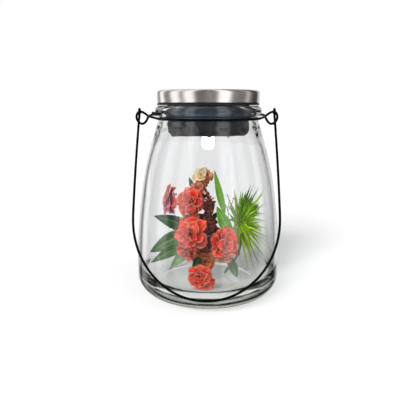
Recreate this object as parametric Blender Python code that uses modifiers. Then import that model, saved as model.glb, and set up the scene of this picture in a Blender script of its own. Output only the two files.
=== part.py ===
"""A glass jar lantern: lift-out solar light lid, wire neck collar, wire bail and artificial flowers.

Run it with: blender --background --python part.py
Sizes are in millimetres, and MM turns them into Blender's metres. +Z is up, the origin is the
centre of the glass base, and the bail hangs on the -Y side at rest.
"""

from math import cos, pi, radians, sin, sqrt

import bmesh
import bpy
from mathutils import Matrix, Vector

MM = 0.001
GAP = 0.3  # left between two solids that touch in the real lantern
TURN_STEPS = 32
MERGE = 0.00001

# Glass jar: a round heel, a long shoulder, a wire groove under a fat bead, a flat rim.
BELLY_RADIUS = 58.5
HEEL_RADIUS = 14.0
GLASS_WALL = 3.0
FLOOR_HEIGHT = 8.5
INNER_HEEL_RADIUS = 15.5
SHOULDER = [(58.3, 34.0), (57.5, 51.0), (56.2, 66.0), (54.2, 81.0), (51.5, 97.5), (48.5, 110.0),
            (45.3, 121.5), (42.3, 131.2), (40.3, 137.6)]
GROOVE_RADIUS = 39.7
GROOVE_HEIGHT = 140.6
BEAD = [(40.5, 142.6), (41.9, 144.3), (42.2, 146.3), (41.6, 148.3), (40.3, 149.8)]
RIM_HEIGHT = 150.5
RIM_OUTER_RADIUS = 39.2
NECK_BORE_RADIUS = 35.8

# Wires: the collar round the neck with an eye on each side, and the bail.
WIRE_RADIUS = 0.95
COLLAR_RADIUS = GROOVE_RADIUS + WIRE_RADIUS + 0.4
COLLAR_LEAVES_AT = 26.0  # degrees from the X axis, where the wire leaves the groove for the eye
HINGE_X = 53.4
WIRE_SHIFT = -1.1  # the eyes and the bail sit this far off centre, in X
HINGE_HEIGHT = 145.7
RING_RADIUS = 2.2
BAIL_LENGTH = 146.6
BAIL_HALF_WIDTH = 55.3
BAIL_BEND_DEPTH = 62.0
BAIL_LEAN = 24.15  # degrees forward of straight down, where the bend rests on the glass

# Lid: a steel cap on a black housing, with a light unit in a grey plug below it.
LID_RADIUS = 40.3
LID_TOP = 162.2
LID_CORNER = 2.0
STEEL = 0.6
CAP_BOTTOM = 152.7
WINDOW_RADIUS = 27.0
HOUSING_BOTTOM = RIM_HEIGHT + 0.4
DECK_TOP = 158.4
PLUG_RADIUS = 32.5
PLUG_BOTTOM = 128.6
PLUG_FLOOR = 131.0
PLUG_CORNER = 5.6
LED_RADIUS = 5.0
LED_TIP = 115.2
PLUG_SCREW_CIRCLE = 34.8
WINDOW_FLANGE_RADIUS = 33.4
WINDOW_TOP = LID_TOP - 0.2
WINDOW_FLANGE_TOP = LID_TOP - STEEL - GAP
DECK_THICKNESS = 1.4
DECK_RING_INNER_RADIUS = 31.0
DECK_RING_TOP = DECK_TOP + 1.5
PLUG_WALL = 1.8
PLUG_FLANGE = (36.9, 152.7, 154.1)  # radius, bottom, top
SCREW_HEAD = 1.1
SCREW_HOLE_RADIUS = 1.1
BOSS_RADIUS = 2.3

# Inside the plug: the lamp's board, the cell with its hatch, and the slide switch.
BOARD_BOTTOM = 135.0
BOARD_TOP = 136.6
BOARD_SCREW_X = (-8.5, 8.5)
BOARD_SCREW_Y = -2.0
BATTERY_Y = 12.0
BATTERY_HEIGHT = 136.9
HATCH_HALF_LENGTH = 20.0
HATCH_HALF_WIDTH = 5.6
HATCH_THICKNESS = 1.2
HATCH_SCREW_X = 16.6
SWITCH_Y = -14.0
SWITCH_TRAVEL = 2.5
KNOB_LENGTH = 2.6
KNOB_WIDTH = 2.4
KNOB_HEIGHT = 3.4

# Flowers: (centre, half sizes) of each blossom and (foot, tip, width) of each leaf.
STEM_RADIUS = 1.2
STALK_RADIUS = 0.7
STEM_ROUTE = [(1.5, -1.0, 9.1), (3.0, 2.5, 30.0), (2.0, 4.0, 55.0), (0.5, 5.0, 75.0), (-3.4, 6.4, 82.2)]
BLOSSOMS = [
    ((-13.6, -13.5, 71.3), (10.4, 7.5, 14.8)),
    ((-30.4, -9.0, 76.0), (6.0, 6.5, 12.4)),
    ((-8.9, -1.0, 82.4), (6.0, 6.0, 6.0)),
    ((-5.0, 7.0, 91.8), (7.5, 6.5, 7.5)),
    ((-12.8, -26.5, 48.5), (12.3, 8.0, 17.0)),
    ((13.2, -22.0, 42.5), (10.6, 8.0, 13.2)),
    ((-3.2, -9.5, 27.4), (8.2, 7.0, 10.4)),
    ((-4.6, -42.5, 21.6), (10.7, 7.0, 12.0)),
]
STALK_ROUTES = {  # number of the blossom: (start on the stem, bend); blossom 4 sits on the stem's end
    1: ((0.9, 4.8, 62.0), (-6.0, 0.0, 69.0)),
    2: ((2.0, 4.0, 55.0), (-12.0, 0.0, 62.0)),
    3: ((0.8, 4.9, 72.0), (-3.5, 2.6, 75.5)),
    5: ((2.7, 3.2, 40.0), (-6.0, -6.0, 43.6)),
    6: ((2.9, 2.9, 35.0), (7.0, -6.0, 40.0)),
    7: ((2.4, 0.8, 19.0), (0.6, -3.0, 20.5)),
    8: ((2.1, 0.3, 15.5), (0.0, -14.0, 14.6)),
}
LEAVES = [
    ((-8.0, 2.0, 46.0), (-43.9, -5.0, 61.8), 7.0),
    ((-12.0, -8.0, 46.0), (-46.4, -14.0, 25.3), 18.0),
    ((-10.5, -10.5, 38.5), (-29.8, -20.0, 22.4), 9.5),
    ((-6.5, -17.5, 31.0), (-12.0, -19.0, 18.0), 6.0),
    ((-11.0, 7.0, 79.0), (-15.8, 5.5, 92.0), 4.0),
    ((14.0, -6.5, 64.0), (5.2, -6.5, 99.5), 5.6),
    ((19.0, -11.0, 48.5), (7.4, -10.0, 71.0), 9.5),
    ((17.5, -10.0, 31.5), (24.5, -12.0, 11.8), 7.4),
]
LEAF_THICKNESS = 0.8
DARK_BRACT = ((1.6, -5.0, 60.0), (5.0, 3.2, 18.5))
BUD = ((2.9, -2.0, 94.6), (2.8, 2.8, 3.6))
GRASS = ((30.0, 6.0, 52.0), (19.0, 16.0, 30.0))
GRASS_STEM_ROUTE = [(14.5, 2.5, 9.9), (17.5, 4.0, 13.5), (24.0, 6.0, 21.0)]


def clear_scene():
    for item in list(bpy.data.objects):
        bpy.data.objects.remove(item)


def new_collection(name):
    collection = bpy.data.collections.new(name)
    bpy.context.scene.collection.children.link(collection)
    return collection


def new_material(name, colour, roughness, metallic=0.0):
    material = bpy.data.materials.new(name)
    material.use_nodes = True
    shader = material.node_tree.nodes["Principled BSDF"]
    shader.inputs["Base Color"].default_value = (*colour, 1.0)
    shader.inputs["Roughness"].default_value = roughness
    shader.inputs["Metallic"].default_value = metallic
    material.diffuse_color = (*colour, 1.0)
    return material


def add_part(name, data, material):
    """Puts a mesh or a curve in the lantern's collection under its own name."""
    part = bpy.data.objects.new(name, data)
    data.materials.append(material)
    LANTERN.objects.link(part)
    return part


def smooth_line(points, per_span, closed=False):
    """Points along a Catmull-Rom curve through the given points, which may have 2 or 3 numbers each."""
    knots = [Vector(p) for p in points]
    count = len(knots)
    spans = count if closed else count - 1
    line = []
    for span in range(spans):
        if closed:
            a, b, c, d = (knots[(span + k) % count] for k in (-1, 0, 1, 2))
        else:
            b, c = knots[span], knots[span + 1]
            a = knots[span - 1] if span else 2 * b - c
            d = knots[span + 2] if span + 2 < count else 2 * c - b
        for step in range(per_span):
            t = step / per_span
            line.append(0.5 * (2 * b + (c - a) * t + (2 * a - 5 * b + 4 * c - d) * t**2
                               + (3 * b - a - 3 * c + d) * t**3))
    if not closed:
        line.append(knots[-1])
    return [tuple(p) for p in line]


def arc(centre, radius, start, end, steps):
    """Points of an arc in the profile plane, angles in degrees from outwards, turning upwards."""
    angles = [radians(start + (end - start) * k / steps) for k in range(steps + 1)]
    return [(centre[0] + radius * cos(a), centre[1] + radius * sin(a)) for a in angles]


def turned(name, profile, material, steps=TURN_STEPS):
    """A solid of revolution from (radius, height) points that run down its outer side."""
    mesh = bpy.data.meshes.new(name)
    edges = [(k, k + 1) for k in range(len(profile) - 1)]
    if profile[0][0] > 0:
        edges.append((len(profile) - 1, 0))
    mesh.from_pydata([(r * MM, 0, z * MM) for r, z in profile], edges, [])
    part = add_part(name, mesh, material)
    screw = part.modifiers.new("Turn", "SCREW")
    screw.angle = 2 * pi
    screw.steps = steps
    screw.render_steps = steps
    screw.use_merge_vertices = True
    screw.merge_threshold = MERGE
    screw.use_smooth_shade = True
    return part


def tube(name, points, radius, material, closed=False):
    """A round wire or stem along the given points."""
    curve = bpy.data.curves.new(name, "CURVE")
    curve.dimensions = "3D"
    curve.bevel_depth = radius * MM
    curve.bevel_resolution = 2
    curve.use_fill_caps = not closed
    spline = curve.splines.new("POLY")
    spline.points.add(len(points) - 1)
    for point, place in zip(spline.points, points):
        point.co = (*(value * MM for value in place), 1.0)
    spline.use_cyclic_u = closed
    return add_part(name, curve, material)


def box_mesh(name, low, high):
    mesh = bpy.data.meshes.new(name)
    shape = bmesh.new()
    bmesh.ops.create_cube(shape, size=1.0)
    size = [h - l for l, h in zip(low, high)]
    middle = [(h + l) / 2 for l, h in zip(low, high)]
    bmesh.ops.scale(shape, vec=Vector(size) * MM, verts=shape.verts)
    bmesh.ops.translate(shape, vec=Vector(middle) * MM, verts=shape.verts)
    shape.to_mesh(mesh)
    shape.free()
    return mesh


def cylinder_mesh(name, centre, radius, bottom, top, sides=20):
    mesh = bpy.data.meshes.new(name)
    shape = bmesh.new()
    bmesh.ops.create_cone(shape, cap_ends=True, segments=sides, radius1=radius * MM,
                          radius2=radius * MM, depth=(top - bottom) * MM)
    bmesh.ops.translate(shape, vec=Vector((*centre, (bottom + top) / 2)) * MM, verts=shape.verts)
    shape.to_mesh(mesh)
    shape.free()
    return mesh


def box(name, low, high, material, bevel=0.0):
    part = add_part(name, box_mesh(name, low, high), material)
    if bevel:
        edge = part.modifiers.new("Edges", "BEVEL")
        edge.width = bevel * MM
        edge.segments = 2
    return part


def combine(part, mesh, operation):
    """Cuts the mesh out of the part, or joins it on; the mesh stays hidden among the cutters."""
    helper = bpy.data.objects.new(mesh.name, mesh)
    helper.hide_render = True
    helper.display_type = "WIRE"
    CUTTERS.objects.link(helper)
    modifier = part.modifiers.new(mesh.name, "BOOLEAN")
    modifier.operation = operation
    modifier.object = helper


def rounded(name, centre, half_sizes, material, rings=9):
    """An ellipsoid: the plain outer shape of a blossom, bud or tuft."""
    mesh = bpy.data.meshes.new(name)
    shape = bmesh.new()
    bmesh.ops.create_uvsphere(shape, u_segments=14, v_segments=rings, radius=1.0)
    bmesh.ops.scale(shape, vec=Vector(half_sizes) * MM, verts=shape.verts)
    shape.to_mesh(mesh)
    shape.free()
    mesh.shade_smooth()
    part = add_part(name, mesh, material)
    part.location = Vector(centre) * MM


def screw(name, place, seat, shaft_end, head_radius, shaft_radius):
    """A pan-head screw along Z: the underside of its head is at seat, and its shaft may go up or down."""
    outwards = -1 if shaft_end > seat else 1
    head_end = seat + outwards * SCREW_HEAD
    profile = [(0, head_end), (head_radius * 0.6, head_end),
               (head_radius, seat + outwards * SCREW_HEAD / 2), (head_radius, seat),
               (shaft_radius, seat), (shaft_radius, shaft_end), (0, shaft_end)]
    if outwards < 0:
        profile.reverse()
    part = turned(name, profile, MATERIALS["lead"], steps=14)
    part.location = (place[0] * MM, place[1] * MM, 0)


def screw_hole(part, name, place, bottom, top):
    combine(part, cylinder_mesh(name, place, SCREW_HOLE_RADIUS, bottom, top, 14), "DIFFERENCE")


# The jar


def jar_outside():
    """The outside of the glass from the rim down to the centre of the base."""
    heel = arc((BELLY_RADIUS - HEEL_RADIUS, HEEL_RADIUS), HEEL_RADIUS, 0, -90, 6)
    rim_to_belly = [(RIM_OUTER_RADIUS, RIM_HEIGHT)] + BEAD[::-1] + [(GROOVE_RADIUS, GROOVE_HEIGHT)]
    rim_to_belly += SHOULDER[::-1] + [(BELLY_RADIUS, 24.0)]
    return rim_to_belly + heel + [(0, 0)]


def jar_inside():
    """The inside of the glass from the centre of the floor up to the rim."""
    inner_belly = BELLY_RADIUS - GLASS_WALL
    heel_centre = (inner_belly - INNER_HEEL_RADIUS, FLOOR_HEIGHT + INNER_HEEL_RADIUS)
    heel = arc(heel_centre, INNER_HEEL_RADIUS, -90, 0, 5)
    shoulder = [heel[-1]] + [(r - GLASS_WALL, z) for r, z in SHOULDER[1:-2]]
    shoulder += [(38.7, 130.5), (36.6, 135.0), (NECK_BORE_RADIUS, 138.5)]
    neck = [(NECK_BORE_RADIUS, RIM_HEIGHT - 1.0), (NECK_BORE_RADIUS + 0.9, RIM_HEIGHT)]
    return [(0, FLOOR_HEIGHT)] + heel[:-1] + shoulder + neck


def glass_jar():
    turned("glass_jar", jar_inside() + jar_outside(), MATERIALS["glass"], steps=36)


# The wires


def collar_side(side):
    """The wire on one side of the neck: out of the front groove, round the eye, into the back."""
    crossing_height = GROOVE_HEIGHT + 1.7
    eye = [(49.0, -0.75, 144.4), (51.4, -0.3, 145.6), (HINGE_X, 0.0, HINGE_HEIGHT),
           (55.0, 0.0, 144.7), (55.9, 0.0, 142.3), (55.6, 0.0, 139.8), (54.1, 0.1, 137.5),
           (51.4, 0.3, 136.3), (48.8, 0.8, 137.8)]
    loop = [(46.0, -1.1, crossing_height)] + eye + [(46.0, 1.1, crossing_height)]
    loop = [(x + side * WIRE_SHIFT, y, z) for x, y, z in loop]
    route = [(41.7, -9.4, GROOVE_HEIGHT + 0.7)] + loop
    route += [(43.5, 5.6, crossing_height + 1.1), (40.6, 12.4, crossing_height - 0.1)]
    return [(side * x, y, z) for x, y, z in route]


def neck_wire():
    sweep = 180 - 2 * COLLAR_LEAVES_AT
    turns = [radians(COLLAR_LEAVES_AT + sweep * k / 9) for k in range(10)]
    back = [(COLLAR_RADIUS * cos(a), COLLAR_RADIUS * sin(a), GROOVE_HEIGHT) for a in turns]
    front = [(x, -y, z) for x, y, z in back[::-1]]
    route = front + collar_side(1) + back + collar_side(-1)[::-1]
    tube("neck_wire", smooth_line(route, 2, closed=True), WIRE_RADIUS, MATERIALS["wire"], closed=True)


def bail_half():
    """Points from the free end of one ring down one leg to the middle of the bend, hanging plumb."""
    turns = [radians(a) for a in range(62, 333, 30)]
    ring = [(HINGE_X, RING_RADIUS * sin(a), -RING_RADIUS * cos(a)) for a in turns]
    throat = [(HINGE_X, -0.5, -RING_RADIUS - 0.75), (HINGE_X, -0.05, -RING_RADIUS - 2.4)]
    bend_starts = BAIL_LENGTH - BAIL_BEND_DEPTH
    spread = BAIL_HALF_WIDTH - HINGE_X
    depths = [bend_starts * (0.08 + 0.92 * k / 7) for k in range(7)]
    leg = [(HINGE_X + spread * sin(pi / 2 * s / bend_starts), 0, -s) for s in depths]
    bend = [(BAIL_HALF_WIDTH * cos(radians(a)), 0, -bend_starts - BAIL_BEND_DEPTH * sin(radians(a)))
            for a in (0, 7.5, 15, 22.5, 30, 37.5, 45, 52.5, 60, 67.5, 75, 82.5, 90)]
    return smooth_line(ring + throat, 2)[:-1] + smooth_line(throat[-1:] + leg, 1)[:-1] + leg[-1:] + bend


def bail_handle():
    half = bail_half()
    other = [(-x, y, z) for x, y, z in half[-2::-1]]
    bail = tube("bail_handle", half + other, WIRE_RADIUS, MATERIALS["wire"])
    bail.location = (WIRE_SHIFT * MM, 0, HINGE_HEIGHT * MM)
    bail.rotation_euler = (radians(-BAIL_LEAN), 0, 0)


# The lid


def lid_shell():
    """The drawn steel cap, open below and with a round window in its top."""
    outer = arc((LID_RADIUS - LID_CORNER, LID_TOP - LID_CORNER), LID_CORNER, 90, 0, 4)
    inner_corner = LID_CORNER - STEEL
    inner = arc((LID_RADIUS - LID_CORNER, LID_TOP - LID_CORNER), inner_corner, 0, 90, 3)
    profile = [(WINDOW_RADIUS, LID_TOP)] + outer + [(LID_RADIUS, CAP_BOTTOM)]
    profile += [(LID_RADIUS - STEEL, CAP_BOTTOM)] + inner + [(WINDOW_RADIUS, LID_TOP - STEEL)]
    turned("lid_shell", profile, MATERIALS["steel"], steps=36)


def panel_window():
    """The clear cover of the solar cell, held by its flange under the steel."""
    flange_bottom = WINDOW_FLANGE_TOP - 1.0
    profile = [(0, WINDOW_TOP), (WINDOW_RADIUS - 0.9, WINDOW_TOP), (WINDOW_RADIUS - GAP, WINDOW_TOP - 0.5),
               (WINDOW_RADIUS - GAP, WINDOW_FLANGE_TOP), (WINDOW_FLANGE_RADIUS, WINDOW_FLANGE_TOP),
               (WINDOW_FLANGE_RADIUS, flange_bottom), (0, flange_bottom)]
    turned("panel_window", profile, MATERIALS["clear"])


def lid_housing():
    """The black moulding inside the cap. Its foot shows as the dark line under the steel."""
    outer, skirt = LID_RADIUS - 1.0, LID_RADIUS - 2.8
    foot_top = CAP_BOTTOM - GAP
    lead_hole = 3.0
    profile = [(lead_hole, DECK_TOP), (DECK_RING_INNER_RADIUS, DECK_TOP),
               (DECK_RING_INNER_RADIUS, DECK_RING_TOP), (outer - 0.4, DECK_RING_TOP),
               (outer, DECK_RING_TOP - 0.5), (outer, foot_top), (LID_RADIUS, foot_top),
               (LID_RADIUS, HOUSING_BOTTOM), (skirt, HOUSING_BOTTOM),
               (skirt, DECK_TOP - DECK_THICKNESS), (lead_hole, DECK_TOP - DECK_THICKNESS)]
    housing = turned("lid_housing", profile, MATERIALS["black_plastic"])
    boss_bottom = PLUG_FLANGE[2] + GAP
    for number, place in enumerate(plug_screw_places(), 1):
        boss = cylinder_mesh(f"boss_{number}", place, BOSS_RADIUS, boss_bottom, DECK_TOP - 0.5)
        combine(housing, boss, "UNION")
        screw_hole(housing, f"boss_hole_{number}", place, boss_bottom - 1.4, boss_bottom + 2.2)


def plug_screw_places():
    turns = [radians(a) for a in (30, 150, 270)]
    return [(PLUG_SCREW_CIRCLE * cos(a), PLUG_SCREW_CIRCLE * sin(a)) for a in turns]


def plug_housing():
    """The grey cup that fills the neck and holds the light unit, open at its top."""
    flange_radius, flange_bottom, flange_top = PLUG_FLANGE
    corner = (PLUG_RADIUS - PLUG_CORNER, PLUG_BOTTOM + PLUG_CORNER)
    outer = arc(corner, PLUG_CORNER, 0, -90, 5)
    inner = arc(corner, PLUG_CORNER - PLUG_WALL, -60, 0, 3)
    profile = [(0, PLUG_FLOOR), (inner[0][0] - 1.0, PLUG_FLOOR)] + inner
    profile += [(PLUG_RADIUS - PLUG_WALL, flange_top), (flange_radius, flange_top),
                (flange_radius, flange_bottom), (PLUG_RADIUS, flange_bottom)] + outer + [(0, PLUG_BOTTOM)]
    plug = turned("plug_housing", profile, MATERIALS["plug"])
    post_top = BOARD_BOTTOM - GAP
    for number, x in enumerate(BOARD_SCREW_X, 1):
        place = (x, BOARD_SCREW_Y)
        combine(plug, cylinder_mesh(f"post_{number}", place, 1.8, PLUG_FLOOR - 0.5, post_top), "UNION")
        screw_hole(plug, f"post_hole_{number}", place, post_top - 2.5, post_top + 1.0)
    for number, place in enumerate(plug_screw_places(), 1):
        screw_hole(plug, f"flange_hole_{number}", place, flange_bottom - 1.0, flange_top + 1.0)
    screw_hole(plug, "hatch_screw_hole", (HATCH_SCREW_X, BATTERY_Y), PLUG_BOTTOM, PLUG_FLOOR + 1.0)
    below, above = PLUG_BOTTOM - 1.0, PLUG_FLOOR + 1.0
    recess_x, recess_y = HATCH_HALF_LENGTH + GAP, HATCH_HALF_WIDTH + GAP
    recess_top = PLUG_BOTTOM + HATCH_THICKNESS + GAP
    ledge = 1.0
    slot_x, slot_y = (KNOB_LENGTH + SWITCH_TRAVEL) / 2 + 0.35, KNOB_WIDTH / 2 + GAP
    holes = [
        cylinder_mesh("led_hole", (0, 0), LED_RADIUS + GAP, below, above, 28),
        box_mesh("hatch_recess", (-recess_x, BATTERY_Y - recess_y, below),
                 (recess_x, BATTERY_Y + recess_y, recess_top)),
        box_mesh("hatch_opening", (ledge - HATCH_HALF_LENGTH, BATTERY_Y - recess_y + ledge, below),
                 (HATCH_SCREW_X - 3.6, BATTERY_Y + recess_y - ledge, above)),
        box_mesh("switch_slot", (-slot_x, SWITCH_Y - slot_y, below), (slot_x, SWITCH_Y + slot_y, above)),
    ]
    for hole in holes:
        combine(plug, hole, "DIFFERENCE")


def seal_ring():
    """The soft ribbed ring that grips the glass neck, stretched over the plug."""
    root, base, lip = PLUG_RADIUS + GAP, PLUG_RADIUS + 1.5, NECK_BORE_RADIUS - GAP
    profile = [(root, 149.6), (base, 149.6)]
    for rib in (148.0, 145.0, 142.0):
        profile += [(base, rib + 0.9), (lip, rib + 0.3), (lip, rib - 0.3), (base, rib - 0.9)]
    profile += [(base, 140.2), (root, 140.2)]
    turned("seal_ring", profile, MATERIALS["seal"])


def led_bulb():
    dome = arc((0, LED_TIP + LED_RADIUS), LED_RADIUS, 0, -90, 6)[:-1]
    flange = PLUG_FLOOR + GAP
    profile = [(0, flange + 1.0), (5.8, flange + 1.0), (5.8, flange), (LED_RADIUS, flange)]
    turned("led_bulb", profile + dome + [(0, LED_TIP)], MATERIALS["led"], steps=24)
    for number, x in enumerate((-1.27, 1.27), 1):
        lead = cylinder_mesh(f"led_lead_{number}", (x, 0), 0.3, flange + 1.3, 134.7, 8)
        add_part(f"led_lead_{number}", lead, MATERIALS["lead"])


def circuit_board():
    low, high = (-11.0, -8.5, BOARD_BOTTOM), (11.0, 5.5, BOARD_TOP)
    board = box("circuit_board", low, high, MATERIALS["board"])
    for number, x in enumerate(BOARD_SCREW_X, 1):
        place = (x, BOARD_SCREW_Y)
        screw_hole(board, f"board_hole_{number}", place, BOARD_BOTTOM - 1.0, BOARD_TOP + 1.0)
        screw(f"board_screw_{number}", place, BOARD_TOP + GAP, BOARD_BOTTOM - 2.4, 1.7, 0.7)


def battery():
    """The short rechargeable cell, lying along X between its spring and its end contact."""
    profile = [(0, 12.2), (1.9, 12.2), (1.9, 11.4), (4.7, 11.4), (5.1, 11.0), (5.1, -13.5),
               (4.8, -13.8), (0, -13.8)]
    cell = turned("battery", profile, MATERIALS["cell"], steps=24)
    cell.rotation_euler = (0, pi / 2, 0)
    cell.location = (0, BATTERY_Y * MM, BATTERY_HEIGHT * MM)
    low, high = (12.6, BATTERY_Y - 4.0, PLUG_FLOOR + GAP), (13.1, BATTERY_Y + 4.0, BATTERY_HEIGHT + 4.1)
    box("battery_contact", low, high, MATERIALS["lead"])
    turns, steps, coil_radius = 3, 8, 3.2
    start_x, length = -18.6, 3.9
    coil = []
    for k in range(turns * steps + 1):
        a = 2 * pi * k / steps
        coil.append((start_x + length * k / (turns * steps), BATTERY_Y + coil_radius * cos(a),
                     BATTERY_HEIGHT + coil_radius * sin(a)))
    tube("battery_spring", coil, 0.4, MATERIALS["lead"])


def battery_cover():
    low = (-HATCH_HALF_LENGTH, BATTERY_Y - HATCH_HALF_WIDTH, PLUG_BOTTOM)
    high = (HATCH_HALF_LENGTH, BATTERY_Y + HATCH_HALF_WIDTH, PLUG_BOTTOM + HATCH_THICKNESS)
    cover = box("battery_cover", low, high, MATERIALS["plug"])
    place = (HATCH_SCREW_X, BATTERY_Y)
    screw_hole(cover, "cover_hole", place, PLUG_BOTTOM - 1.0, PLUG_BOTTOM + 2.0)
    screw("cover_screw", place, PLUG_BOTTOM - GAP, PLUG_FLOOR - 0.2, 1.8, 0.8)


def slide_switch():
    low, high = (-4.5, SWITCH_Y - 2.6, PLUG_FLOOR + GAP), (4.5, SWITCH_Y + 2.6, BOARD_BOTTOM - 0.1)
    box("switch_body", low, high, MATERIALS["lead"], bevel=0.3)
    low, high = (-KNOB_LENGTH / 2, -KNOB_WIDTH / 2, -KNOB_HEIGHT), (KNOB_LENGTH / 2, KNOB_WIDTH / 2, 0.0)
    knob = box("switch_knob", low, high, MATERIALS["black_plastic"], bevel=0.3)
    knob.location = (SWITCH_TRAVEL / 2 * MM, SWITCH_Y * MM, PLUG_FLOOR * MM)


def solar_panel():
    """The square cell on the deck, and its two leads down to the board."""
    half, thickness = 19.0, 1.2
    bottom = DECK_TOP + GAP
    low, high = (-half, -half, bottom), (half, half, bottom + thickness)
    box("solar_panel", low, high, MATERIALS["solar"], bevel=0.3)
    for name, side in (("panel_lead_red", 1), ("panel_lead_black", -1)):
        route = [(1.3, 0, DECK_TOP), (1.3, 0, 152), (2.5, -1, 146), (4.0, -4, 141),
                 (4.5, -5.5, BOARD_TOP + GAP)]
        points = smooth_line([(side * x, y, z) for x, y, z in route], 4)
        tube(name, points, 0.5, MATERIALS[name])


def plug_screws():
    flange_bottom = PLUG_FLANGE[1]
    for number, place in enumerate(plug_screw_places(), 1):
        screw(f"plug_screw_{number}", place, flange_bottom - 0.4, flange_bottom + 3.5, 1.9, 0.75)


# The flowers


def reach(half_sizes, towards):
    """How far the surface of an ellipsoid is from its centre in one direction."""
    return 1 / sqrt(sum((d / h) ** 2 for d, h in zip(towards, half_sizes)))


def stalk(name, route, blossom):
    """A thin stalk from beside the main stem to just behind a blossom."""
    start, via = Vector(route[0]), Vector(route[1])
    centre, half_sizes = Vector(blossom[0]), blossom[1]
    leaving = (via - start).normalized()
    back = (via - centre).normalized()
    first = start + leaving * (STEM_RADIUS + STALK_RADIUS + GAP)
    last = centre + back * (reach(half_sizes, back) + 2 * GAP)
    tube(name, smooth_line([first, via, last], 4), STALK_RADIUS, MATERIALS["stem"])


def leaf(name, foot, tip, width, material):
    """A flat pointed leaf from its foot to its tip, its face turned mostly to the front."""
    foot, tip = Vector(foot), Vector(tip)
    length = (tip - foot).length
    steps = 8
    upper = [(length * k / steps, width / 2 * sin(pi * (k / steps) ** 0.85)) for k in range(1, steps)]
    outline = [(0, 0)] + upper + [(length, 0)] + [(x, -y) for x, y in upper[::-1]]
    curve = bpy.data.curves.new(name, "CURVE")
    curve.dimensions = "2D"
    curve.fill_mode = "BOTH"
    curve.extrude = LEAF_THICKNESS / 2 * MM
    spline = curve.splines.new("POLY")
    spline.points.add(len(outline) - 1)
    for point, (x, y) in zip(spline.points, outline):
        point.co = (x * MM, y * MM, 0, 1)
    spline.use_cyclic_u = True
    part = add_part(name, curve, material)
    along = (tip - foot).normalized()
    face = Vector((0, -1, 0))
    across = face.cross(along).normalized()
    face = along.cross(across)
    turn = Matrix((along, across, face)).transposed().to_4x4()
    part.matrix_world = Matrix.Translation(foot * MM) @ turn


def flowers():
    tube("flower_stem", smooth_line(STEM_ROUTE, 5), STEM_RADIUS, MATERIALS["stem"])
    for number, blossom in enumerate(BLOSSOMS, 1):
        petals = "peach_petal" if number == 4 else "coral_petal"
        rounded(f"blossom_{number}", *blossom, MATERIALS[petals])
    for number, route in STALK_ROUTES.items():
        stalk(f"flower_stalk_{number}", route, BLOSSOMS[number - 1])
    for number, (foot, tip, width) in enumerate(LEAVES, 1):
        leaf(f"leaf_{number}", foot, tip, width, MATERIALS["leaf"])
    rounded("dark_bract", *DARK_BRACT, MATERIALS["bract"])
    rounded("flower_bud", *BUD, MATERIALS["peach_petal"])
    rounded("grass_tuft", *GRASS, MATERIALS["grass"], rings=12)
    tube("grass_stem", smooth_line(GRASS_STEM_ROUTE, 4), STEM_RADIUS, MATERIALS["grass"])


clear_scene()
LANTERN = new_collection("jar_lantern")
CUTTERS = new_collection("cutters")
MATERIALS = {
    "glass": new_material("glass", (0.86, 0.89, 0.87), 0.03),
    "wire": new_material("wire", (0.02, 0.02, 0.02), 0.4),
    "steel": new_material("steel", (0.62, 0.60, 0.58), 0.28, 1.0),
    "clear": new_material("clear", (0.85, 0.88, 0.90), 0.08),
    "black_plastic": new_material("black_plastic", (0.02, 0.02, 0.02), 0.45),
    "plug": new_material("plug", (0.08, 0.08, 0.09), 0.5),
    "seal": new_material("seal", (0.10, 0.11, 0.12), 0.6),
    "led": new_material("led", (0.90, 0.93, 1.0), 0.1),
    "lead": new_material("lead", (0.70, 0.70, 0.70), 0.3, 1.0),
    "board": new_material("board", (0.03, 0.22, 0.08), 0.4),
    "cell": new_material("cell", (0.12, 0.30, 0.14), 0.35),
    "solar": new_material("solar", (0.02, 0.03, 0.10), 0.15),
    "panel_lead_red": new_material("panel_lead_red", (0.55, 0.03, 0.03), 0.45),
    "panel_lead_black": new_material("panel_lead_black", (0.02, 0.02, 0.02), 0.45),
    "stem": new_material("stem", (0.16, 0.24, 0.06), 0.6),
    "coral_petal": new_material("coral_petal", (0.83, 0.10, 0.06), 0.6),
    "peach_petal": new_material("peach_petal", (0.95, 0.55, 0.22), 0.6),
    "leaf": new_material("leaf", (0.06, 0.19, 0.05), 0.5),
    "bract": new_material("bract", (0.10, 0.01, 0.01), 0.6),
    "grass": new_material("grass", (0.22, 0.45, 0.02), 0.45),
}
glass_jar()
neck_wire()
bail_handle()
lid_shell()
panel_window()
solar_panel()
lid_housing()
plug_housing()
plug_screws()
seal_ring()
led_bulb()
circuit_board()
battery()
battery_cover()
slide_switch()
flowers()
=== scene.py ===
"""Glass jar lantern with a lift-out solar light lid, a wire collar and bail, and artificial flowers.

Sizes are in millimetres, and MM turns them into the scene's metres. +Z is up, the origin is the
centre of the glass base, and the bail hangs on the -Y side at rest. The sizes of patterns and the
depths of reliefs are in millimetres too.
"""

import random
from math import cos, pi, radians, sin, sqrt

import bmesh
import bpy
from mathutils import Matrix, Vector, noise


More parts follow.
